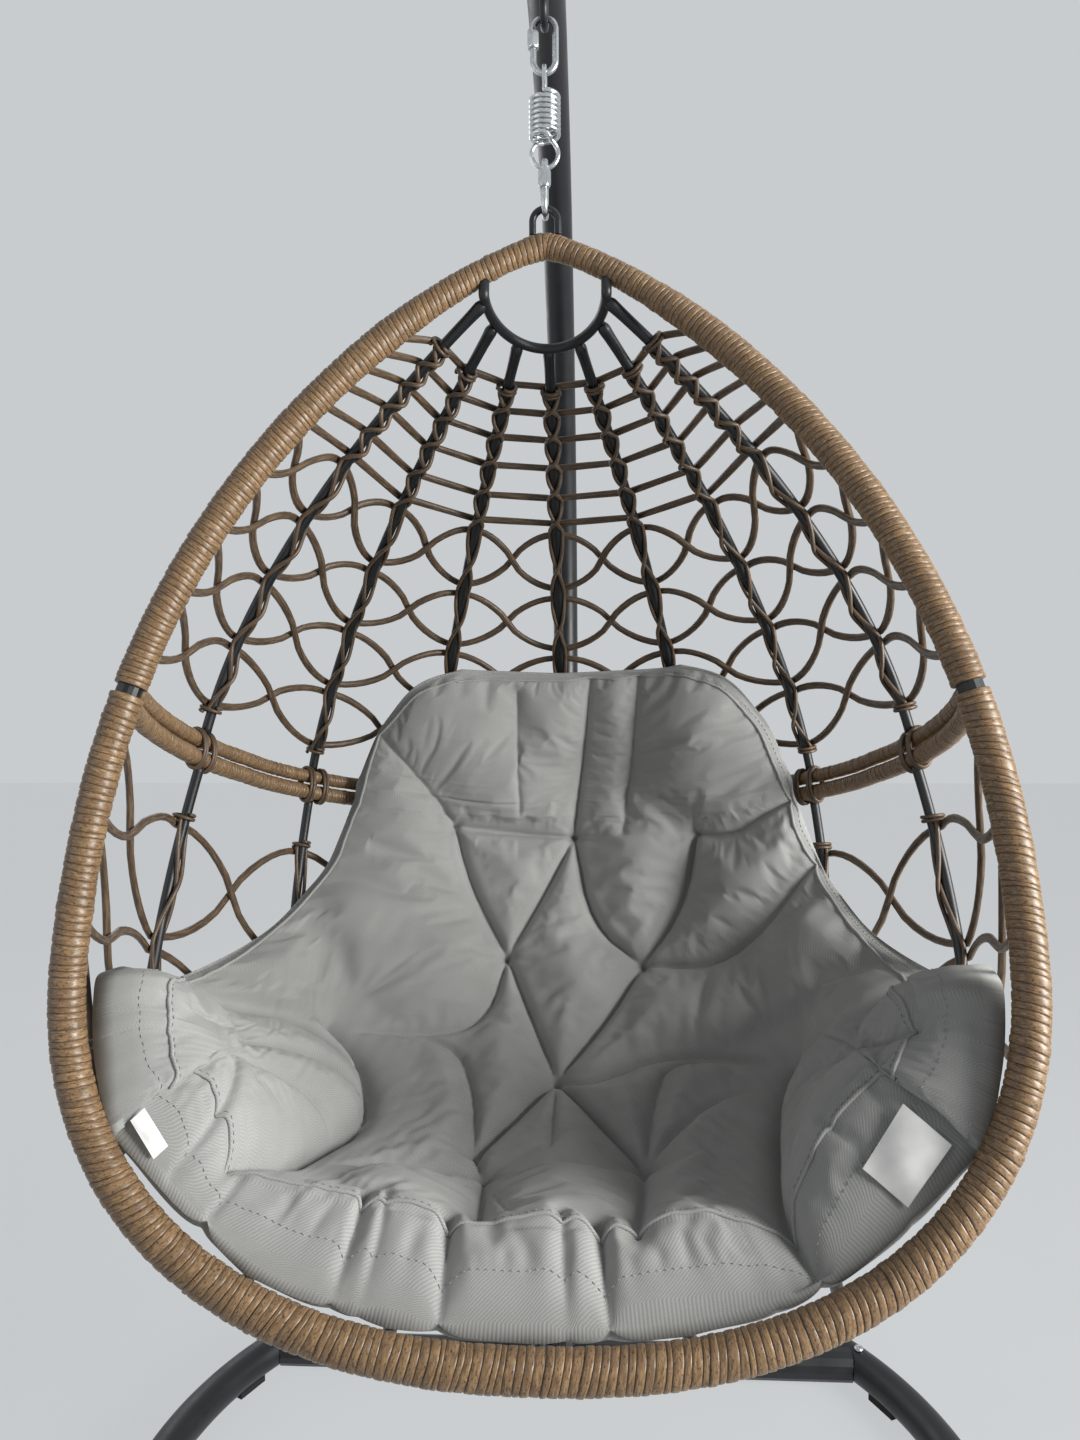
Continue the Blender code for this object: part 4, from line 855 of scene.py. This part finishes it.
def edges_of(s, t):
    """How far across and along the cushion a place is, each from -1 to 1, and its half width there."""
    half = np.interp(t, HALF_AT, HALF_WIDE)
    a = (s - 4 - np.interp(t, LEAN_T, LEAN_S)) / half
    b = (t - CUSHION_T[0]) / (CUSHION_T[1] - CUSHION_T[0]) * 2 - 1
    return np.clip(a, -1, 1), np.clip(b, -1, 1), half


def out_of_basket(s, t):
    """Direction out of the basket, kept off the rims."""
    return outward(np.clip(s, 0.5, 7.5), np.minimum(t, 1.97))


def lie(s, t, depth, bow):
    """A place inside the basket at a depth in from its surface, clear of ribs, rims and bands."""
    near_rim = np.clip(np.maximum(1 - np.minimum(s, 8 - s) / 0.9, 1 - (2 - t) / 0.1), 0, 1)
    near_band = np.clip(1 - np.abs(t - 1) / 0.16, 0, 1)
    deep = (RIB_R + 0.0035 + np.maximum(near_rim * 0.025, near_band * 0.0207) / 2 + depth)[..., None]
    if bow < 1:
        return gore(s, t, bow) - out_of_basket(s, t) * deep
    # the front doesn't show the bend that the ribs have at the waist
    steps = np.linspace(-0.12, 0.12, 7) * np.clip((1.45 - np.abs(t - 1)) / 0.25 - 4, 0, 1)[..., None]
    share = list(enumerate(np.hanning(9)[1:-1] / np.hanning(9).sum()))
    base = sum(w * gore(s, t + steps[..., n], 1) for n, w in share)
    return base - unit(sum(w * out_of_basket(s, t + steps[..., n]) for n, w in share)) * deep


def away_from(s, t, wide, tall, points):
    """The distance in metres from each place to a line of points, and how far along the line its nearest place is."""
    best, along = np.full(s.shape, 9.0), np.zeros(s.shape)
    for n, (p, q) in enumerate(zip(points, points[1:])):
        ax, ay = (p[0] + 4 - s) * wide, (p[1] - t) * tall
        bx, by = (q[0] - p[0]) * wide, (q[1] - p[1]) * tall
        k = np.clip(-(ax * bx + ay * by) / np.maximum(bx**2 + by**2, 1e-12), 0, 1)
        far = np.hypot(ax + k * bx, ay + k * by)
        near = far < best
        best, along = np.where(near, far, best), np.where(near, (n + k) / (len(points) - 1), along)
    return best, along


def rounded(points):
    """Corners of a line cut twice at a quarter, so that it bends softly."""
    points = np.array(points, float)
    for _ in range(2 if len(points) > 2 else 0):
        cut = np.concatenate([points[:-1] * 0.75 + points[1:] * 0.25, points[:-1] * 0.25 + points[1:] * 0.75], 1)
        points = np.concatenate([points[:1], cut.reshape(-1, 2), points[-1:]])
    return points


def scale_at(s, t):
    """Metres per unit of s and of t at each place."""
    e = 0.02
    wide = np.linalg.norm(gore(s + e, t, 1) - gore(s - e, t, 1), axis=-1) / (2 * e)
    tall = np.linalg.norm(gore(s, t + e, 1) - gore(s, t - e, 1), axis=-1) / (np.minimum(t + e, 2) - t + e)
    return wide, tall


def drawn(s, t, back=False):
    """The cushion's drawn shape. Depth in from the basket is the thickness times a crown that falls off at the edges,
    less a fold for each crease and tuft, an exponential of the distance to it, less ripples along the sewn edge.
    Returns the place and the depth of the folds."""
    s, t = np.broadcast_arrays(np.asarray(s, float), np.asarray(t, float))
    a, b, half = edges_of(s, t)
    wide, tall = scale_at(s, t)
    crown = np.sqrt(np.clip(1 - np.abs(a) ** 5, 0, 1)) * np.sqrt(np.clip(1 - np.abs(b) ** 14, 0, 1))
    edge_a, edge_b = (1 - np.abs(a)) * half * wide, (1 - np.abs(b)) * 0.6625 * tall
    tuck = np.zeros(s.shape)
    for place, deep, reach in PUCKERS:
        far, _ = away_from(s, t, wide, tall, [(place - 0.02, 1.928), (place + 0.03, 1.99)])
        tuck = np.maximum(tuck, deep * MM * np.exp(-far / (reach * MM)))
    close = np.clip(np.maximum((t - 1.86) / 0.1, (np.abs(s - 4) - 3.2) / 0.5), 0, 1)  # to the rim
    if back:
        sag = 0.007 * np.sin(math.pi * s) ** 2 * crown
        depth = 0.01 * (1 - crown) * (1 - close) + 0.004 - 0.008 * close - sag + tuck * 0.5 * np.exp(-edge_b / 0.03)
        return lie(s, t, depth, 0.45), tuck

    left, right = np.interp(t, BOLSTER_T, BOLSTER_LEFT), np.interp(t, BOLSTER_T, BOLSTER_RIGHT)
    beyond = np.maximum(left - (s - 4), s - 4 - right)  # how far inside a bolster
    bolster = (1 - np.exp(-np.maximum(beyond, 0) * wide / 0.045)) * np.clip((t - 1.36) / 0.1, 0, 1)
    roll = np.exp(-(((t - 1.955) * tall / 0.042) ** 2)) * np.clip(-beyond / 0.5, 0, 1)
    full = START * np.interp(t, THICK_T, THICK_M) + 0.02 * np.clip((np.abs(a) * half - 2.2) / 1.2, 0, 1)
    full = full + BOLSTER_RISE * bolster + ROLL_RISE * roll

    # folds add up as fifth powers, so that the deepest one rules
    ripple = np.sin(2 * math.pi * s * 3.1 + 2.2 * np.sin(4.3 * s)) * np.exp(-edge_b / 0.026)
    ripple += np.sin(2 * math.pi * t * 8.3 + 2.0 * np.sin(11 * t) + 0.9 * s) * np.exp(-edge_a / 0.034)
    fold = np.zeros(s.shape)
    for *points, first, last, reach in CREASES:
        far, k = away_from(s, t, wide, tall, rounded(points))
        far = np.sqrt(far**2 + 0.0012**2)
        deep = 2.4 * (first + (last - first) * k) * MM
        fold += (deep * (0.5 * np.exp(-far / (0.36 * reach * MM)) + 0.5 * np.exp(-far / (2.6 * reach * MM)))) ** 5
    for place, deep, reach in TUFTS:
        x, y = (s - 4 - place[0]) * wide, (t - place[1]) * tall
        far, turn = np.hypot(x, y), np.arctan2(y, x)
        pit = 0.6 * np.exp(-far / (0.5 * reach * MM)) + 0.4 * np.exp(-far / (1.8 * reach * MM))
        fold += (1.6 * deep * MM * pit) ** 5
        rays = 0.8 * np.sin(8 * turn + 3 * np.sin(2 * turn + place[0]))
        ripple += rays * np.exp(-far / 0.028) * (1 - np.exp(-far / 0.012))
    welted = np.exp(-np.abs(np.minimum(edge_a * np.where(a < 0, 1.8, 0.9), edge_b) - 0.036) / 0.0035)
    welted = welted * np.clip((t - 1.35) / 0.1, 0, 1) * np.where(a < -0.5, 0.4, 1.0)
    fold = (fold + tuck**5 + (0.0042 * welted) ** 5) ** 0.2

    x, y = (s - 4) * wide, t * tall
    drape = 1.1 * np.sin(61 * x + 1.5 * np.sin(37 * y)) * np.sin(53 * y + 1.1 * np.sin(41 * x + 1))
    drape += 0.6 * np.sin(118 * x + 31 * y + 2 * np.sin(29 * x)) * np.sin(23 * y + 47 * x)
    swell = 0.006 * (1 - np.exp(-fold / 0.004)) - 0.003
    depth = full * (0.2 - 0.1 * close + (0.8 + 0.1 * close) * crown) - fold - swell
    depth = depth + (0.0024 * ripple + 0.0005 * drape) * (0.3 + 0.7 * crown)
    return lie(s, t, np.maximum(depth, 0.018 - 0.01 * close), 1), fold


def crowded(x):
    """From -1 to 1, with equal steps made a little closer near both ends."""
    return 0.55 * x + 0.45 * np.sin(x * math.pi / 2)


def seat_grid(wide, long):
    """Places on a grid that is a little closer near the edges."""
    return on_pad(crowded(np.linspace(-1, 1, wide)[None, :]), crowded(np.linspace(-1, 1, long)[:, None]))


def inflated(points, held):
    """How far each point of a sheet (row, column, xyz) moves when it is simulated as cloth that is a little too large,
    with pressure under it and without gravity, held where 'held' is 1. The simulation's object is removed again."""
    long, wide = held.shape
    corner = (np.arange(long - 1)[:, None] * wide + np.arange(wide - 1)).reshape(-1)
    quads = np.stack([corner, corner + 1, corner + wide + 1, corner + wide], 1)
    middle = points[long // 2, wide // 2]
    normal = np.cross(points[long // 2, wide // 2 + 1] - middle, points[long // 2 + 1, wide // 2] - middle)
    if normal @ np.array((0, -1, 0.5)) < 0:
        quads = quads[:, ::-1]
    mesh = bpy.data.meshes.new("sheet")
    mesh.from_pydata(points.reshape(-1, 3).tolist(), [], quads.tolist())
    sheet = put("sheet", mesh)
    group = sheet.vertex_groups.new(name="held")
    tenths = np.round(held.reshape(-1) * 10).astype(int)
    for tenth in range(1, 11):
        group.add(np.nonzero(tenths == tenth)[0].tolist(), tenth / 10, "REPLACE")
    cloth = sheet.modifiers.new("cloth", "CLOTH")
    rules = cloth.settings
    rules.vertex_group_mass = "held"
    rules.use_pressure, rules.uniform_pressure_force = True, PRESSURE
    rules.shrink_min = -GROWTH
    rules.quality = 5
    rules.bending_stiffness = 2.0
    rules.effector_weights.gravity = 0.0
    cloth.collision_settings.use_collision = False
    cloth.point_cache.frame_start, cloth.point_cache.frame_end = 1, FRAMES
    scene = bpy.context.scene
    scene.frame_start, scene.frame_end = 1, FRAMES
    for frame_number in range(1, FRAMES + 1):
        scene.frame_set(frame_number)
    settled = sheet.evaluated_get(bpy.context.evaluated_depsgraph_get())
    flat = np.empty(held.size * 3, np.float32)
    settled.data.vertices.foreach_get("co", flat)
    move = flat.reshape(points.shape).astype(float) - points
    bpy.data.objects.remove(sheet)
    bpy.data.meshes.remove(mesh)
    scene.frame_set(1)
    far = np.linalg.norm(move, axis=-1, keepdims=True)
    return move * np.minimum(1, MOVE_CAP / np.maximum(far, 1e-9))


def spline(table, row, column):
    """A table read between its entries with the cubic B-spline's four weights each way."""
    def four(place, size):
        k = np.clip(place.astype(int), 0, size - 2)
        f = place - k
        weights = ((1 - f) ** 3 / 6, (3 * f**3 - 6 * f**2 + 4) / 6, (-3 * f**3 + 3 * f**2 + 3 * f + 1) / 6, f**3 / 6)
        return [(np.clip(k + n - 1, 0, size - 1), w) for n, w in enumerate(weights)]
    rows, columns = four(row, table.shape[0]), four(column, table.shape[1])
    return sum(table[r, c] * (wr * wc)[..., None] for r, wr in rows for c, wc in columns)


moved = np.zeros((SHEET[1], SHEET[0], 3))
start, fold = drawn(*seat_grid(*SHEET))
held = np.clip((fold - 0.0055) / 0.0045, 0, 1)
held[:3], held[-3:], held[:, :3], held[:, -3:] = 1, 1, 1, 1
moved = inflated(start, held)


def face(s, t):
    """The cushion's front: the drawn shape, and on it the simulated cloth's moves."""
    place, _ = drawn(s, t)
    a, b, _ = edges_of(*np.broadcast_arrays(np.asarray(s, float), np.asarray(t, float)))
    even = np.linspace(-1, 1, 401)
    x, y = (np.interp(v, crowded(even), even) for v in (a, b))
    return place + spline(moved, (y + 1) / 2 * (SHEET[1] - 1), (x + 1) / 2 * (SHEET[0] - 1))


def two_sided(name, front, behind, flat, paint, stands_for=(), smooth=None):
    """A closed piece of cloth: rows of the front, and the same rows behind it the other way."""
    uv = np.concatenate([flat, flat[:, ::-1], flat[:, :1]], 1)
    rings = np.concatenate([front, behind[:, ::-1]], 1)
    return make(name, rings, paint, "basket", "grey_twill", stands_for, uv, "cloth", "zip", smooth)


count = ((400, 440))
s, t = seat_grid(*count)
front, (behind, _) = face(s, t), drawn(s, t, True)
cloth_x = lengths(front)
cloth_x -= cloth_x[:, count[0] // 2, None]
cloth_y = lengths(front.transpose(1, 0, 2)).T[:, count[0] // 2, None] + 0 * cloth_x
pad = two_sided("tufted_cushion", world(front), world(behind), np.stack([cloth_x, cloth_y], -1) / MM, TWILL,
                ("seat_cushion",))


# ---- the sewn edge: a welt with a row of stitches beside it, on the cushion's own surface
def edge_line(inset, count, step):
    """Once round the cushion at an inset from its edges, less at its back and left: a square with rounded corners,
    as places s and t in equal steps on the surface."""
    a, p = turns(count), 14.0
    far = (np.abs(np.cos(a)) ** p + np.abs(np.sin(a)) ** p) ** (-1 / p)
    x, y = far * np.cos(a), far * np.sin(a)
    inset = inset * np.interp(y, (-0.15, 0.15), (0.25, 1.0)) * np.where((x < -0.9) & (y < 0.97), 0.5, 1.0)
    s, t = (np.append(v, v[0]) for v in on_pad(x * (1 - inset), y * (1 - inset)))
    run = lengths(face(s, t))
    at = np.arange(0, run[-1] - step / 2, step)
    return np.interp(at, run, s), np.interp(at, run, t)


def lifted(s, t, by):
    """Places on the cushion's surface, raised square to it, and the direction."""
    e = 0.012
    n = unit(np.cross(face(s + e, t) - face(s - e, t), face(s, t + e) - face(s, t - e)))
    n = np.where(np.sum(n * out_of_basket(s, t), -1, keepdims=True) < 0, n, -n)
    return face(s, t) + n * by, n


welt, up = lifted(*edge_line(0.055, 900, 0.004), 0.0006)
closed, up = (np.concatenate([v[-1:], v, v[:1]]) for v in (welt, up))
rings = tube(closed, 0.0022, 8, up)[1:-1]
uv = wound_map(rings[None], lengths(rings.mean(1)) / MM, 11)
make("sewn_welt", world(rings), TWILL, "basket", "grey_twill", (), uv, "cloth", "loop")


def stitches(name, inset):
    """One short bowed thread for each step along a line on the cushion."""
    s, t = edge_line(inset, 900, 0.0075)
    ahead_s, ahead_t = np.roll(s, -1) - s, np.roll(t, -1) - t
    bow = ((0.08, 0.0002), (0.32, 0.0008), (0.56, 0.0002))
    parts = [lifted(s + ahead_s * k, t + ahead_t * k, high) for k, high in bow]
    runs, up = np.stack([place for place, _ in parts], 1), parts[-1][1]
    make(name, world(tube(runs, 0.00032, 5, up[:, None])), THREAD, "basket", "grey_twill")


stitches("edge_stitches", 0.012)
stitches("welt_stitches", 0.062)


# ---- two bare labels sewn into the edge
EYE = np.array((0.053, HANG_Y - 1.179, 1.1318))  # where the photo was taken from


def on_cushion(corner, clear):
    """The corner moved along the line from the eye to it, until it lies just in front of the cushion."""
    way = unit(np.array(corner) - EYE)
    surface = world(front).reshape(-1, 3) - EYE
    ahead = surface @ way
    aside = np.linalg.norm(surface - ahead[:, None] * way, axis=1)
    near = aside < 0.012
    far = np.min(ahead[near]) if near.any() else ahead[np.argmin(aside)]
    return EYE + way * (far - clear)


def label(name, corners, bow, waves, thick):
    """A patch between four corners: straight both ways, plus a bow and a few waves square to it."""
    a, b, c, d = (on_cushion(p, 0.003) for p in corners)
    u, v = np.linspace(0, 1, 37)[None, :, None], np.linspace(0, 1, 31)[:, None, None]
    flat = (a * (1 - u) + b * u) * (1 - v) + (d * (1 - u) + c * u) * v
    n = unit(np.cross(b - a, d - a))
    n = n if n[1] < 0 else -n
    rise = bow * np.sin(math.pi * u) * np.sin(math.pi * v * 0.9)
    rise = rise + waves * np.sin(9 * u + 4 * v) * np.sin(7 * v - 3 * u) * v
    size = np.array((np.linalg.norm(b - a), np.linalg.norm(d - a))) / MM
    uv = np.concatenate([u + 0 * v, v + 0 * u], -1) * size
    two_sided(name, flat + n * rise, flat + n * (rise - thick), uv, LABEL, smooth=50)


label("bare_side_label", ((-0.3665, -0.464, 0.7275), (-0.3405, -0.4735, 0.696), (-0.348, -0.4885, 0.6905),
                          (-0.3735, -0.4785, 0.7215)), 0.001, 0.0004, 0.0005)
label("bare_care_label", ((0.3373, -0.436, 0.7314), (0.2949, -0.459, 0.6805), (0.3208, -0.508, 0.671),
                          (0.364, -0.488, 0.717)), 0.006, 0.0007, 0.0004)


# ================================================================ the frame's own nodes that stay
for name, obj in frame["nodes"].items():
    if obj.hide_render:
        continue
    paint = RUBBER if name.startswith("foot_pad") else PLUG if name == "arch_end_cap" else COAT
    for slot in obj.material_slots:
        slot.material = paint


# ================================================================ floor, light and camera
def matt_floor():
    """Smooth pale screed, sealed: light grey, nearly even, matt. The camera and reflections see it mostly as a plain
    glow, so that it stays even."""
    p = Paint("sealed_screed", Roughness=0.75)
    cloud = p.noise(p.add("TexCoord").outputs["Object"], 3.0, 5.0)
    made = p.done(p.ramp(cloud, (0.3, "CBCDCF"), (0.7, "D4D6D7")))
    pale = p.add("Emission", None, Color=srgb("CFD2D4"), Strength=1.0)
    share = p.calc("MULTIPLY", p.seen("Camera", "Glossy"), 0.84)
    p.tree.links.new(p.either(share, p.shader, pale), p.tree.nodes["Material Output"].inputs[0])
    return made


mesh = bpy.data.meshes.new("floor")
mesh.from_pydata([(-9, -9, 0), (9, -9, 0), (9, 9, 0), (-9, 9, 0)], [], [(0, 1, 2, 3)])
mesh.materials.append(matt_floor())
put("floor", mesh)

studio = bpy.data.worlds.new("studio")
bpy.context.scene.world = studio
studio.use_nodes = True
studio.node_tree.nodes.clear()
sky = Nodes(studio.node_tree)
glow = sky.add("Background", None, Color=srgb("F2F5F8"), Strength=0.17)
room = sky.add("Background", None, Color=srgb("C9CCCE"), Strength=1.0)
sky.add("OutputWorld", None, Surface=sky.either(sky.seen("Camera", "Glossy", "Transmission"), glow, room))


def placed(name, data, right, up, back, spot):
    """A lamp or camera at a spot, facing away from 'back'."""
    made = put(name, data)
    made.matrix_world = Matrix([(*row, p) for row, p in zip(np.stack([right, up, back], 1), spot)] + [(0, 0, 0, 1)])
    return made


def lamp(name, size, power, spot, aim, colour):
    """A soft rectangular light that faces a point."""
    data = bpy.data.lights.new(name, "AREA")
    data.shape, data.size, data.size_y, data.energy = "RECTANGLE", size[0], size[1], power
    data.color = srgb(colour)[:3]
    back = unit(np.array(spot, float) - np.array(aim, float))
    right = unit(np.cross(Z, back))
    placed(name, data, right, np.cross(back, right), back, spot)


lamp("window", (1.3, 1.6), 150, (2.65, HANG_Y - 1.2, 1.5), (0, HANG_Y, 0.85), "FFFEFB")
lamp("ceiling", (2.6, 2.6), 4, (0.3, HANG_Y + 0.2, 3.0), (0, HANG_Y, 0.8), "FBFCFF")
lamp("back", (1.6, 1.6), 12, (-1.6, HANG_Y + 2.4, 2.0), (0, HANG_Y + 0.2, 0.9), "F8FAFF")
lamp("side", (1.2, 2.0), 6, (-2.0, HANG_Y - 1.2, 1.5), (0, HANG_Y, 1.0), "F6F9FF")

# the camera: three degrees to the left, almost level, and turned a little about its own line of sight
ahead = unit(np.array((-0.0523, 0.9975, -0.0471)))
right0, down0 = np.array((0.99863, 0.05234, 0)), np.array((0.002465, -0.04704, -0.99889))
roll = math.radians(0.3)
right, down = circle(np.array((roll, roll + math.pi / 2)), right0, down0)
data = bpy.data.cameras.new("photo_view")
data.sensor_fit, data.sensor_height, data.lens = "VERTICAL", 36.0, 25.75
data.clip_start = 0.02
bpy.context.scene.camera = placed("photo_view", data, right, -down, -ahead, EYE)
bpy.context.scene.view_settings.view_transform = "Standard"
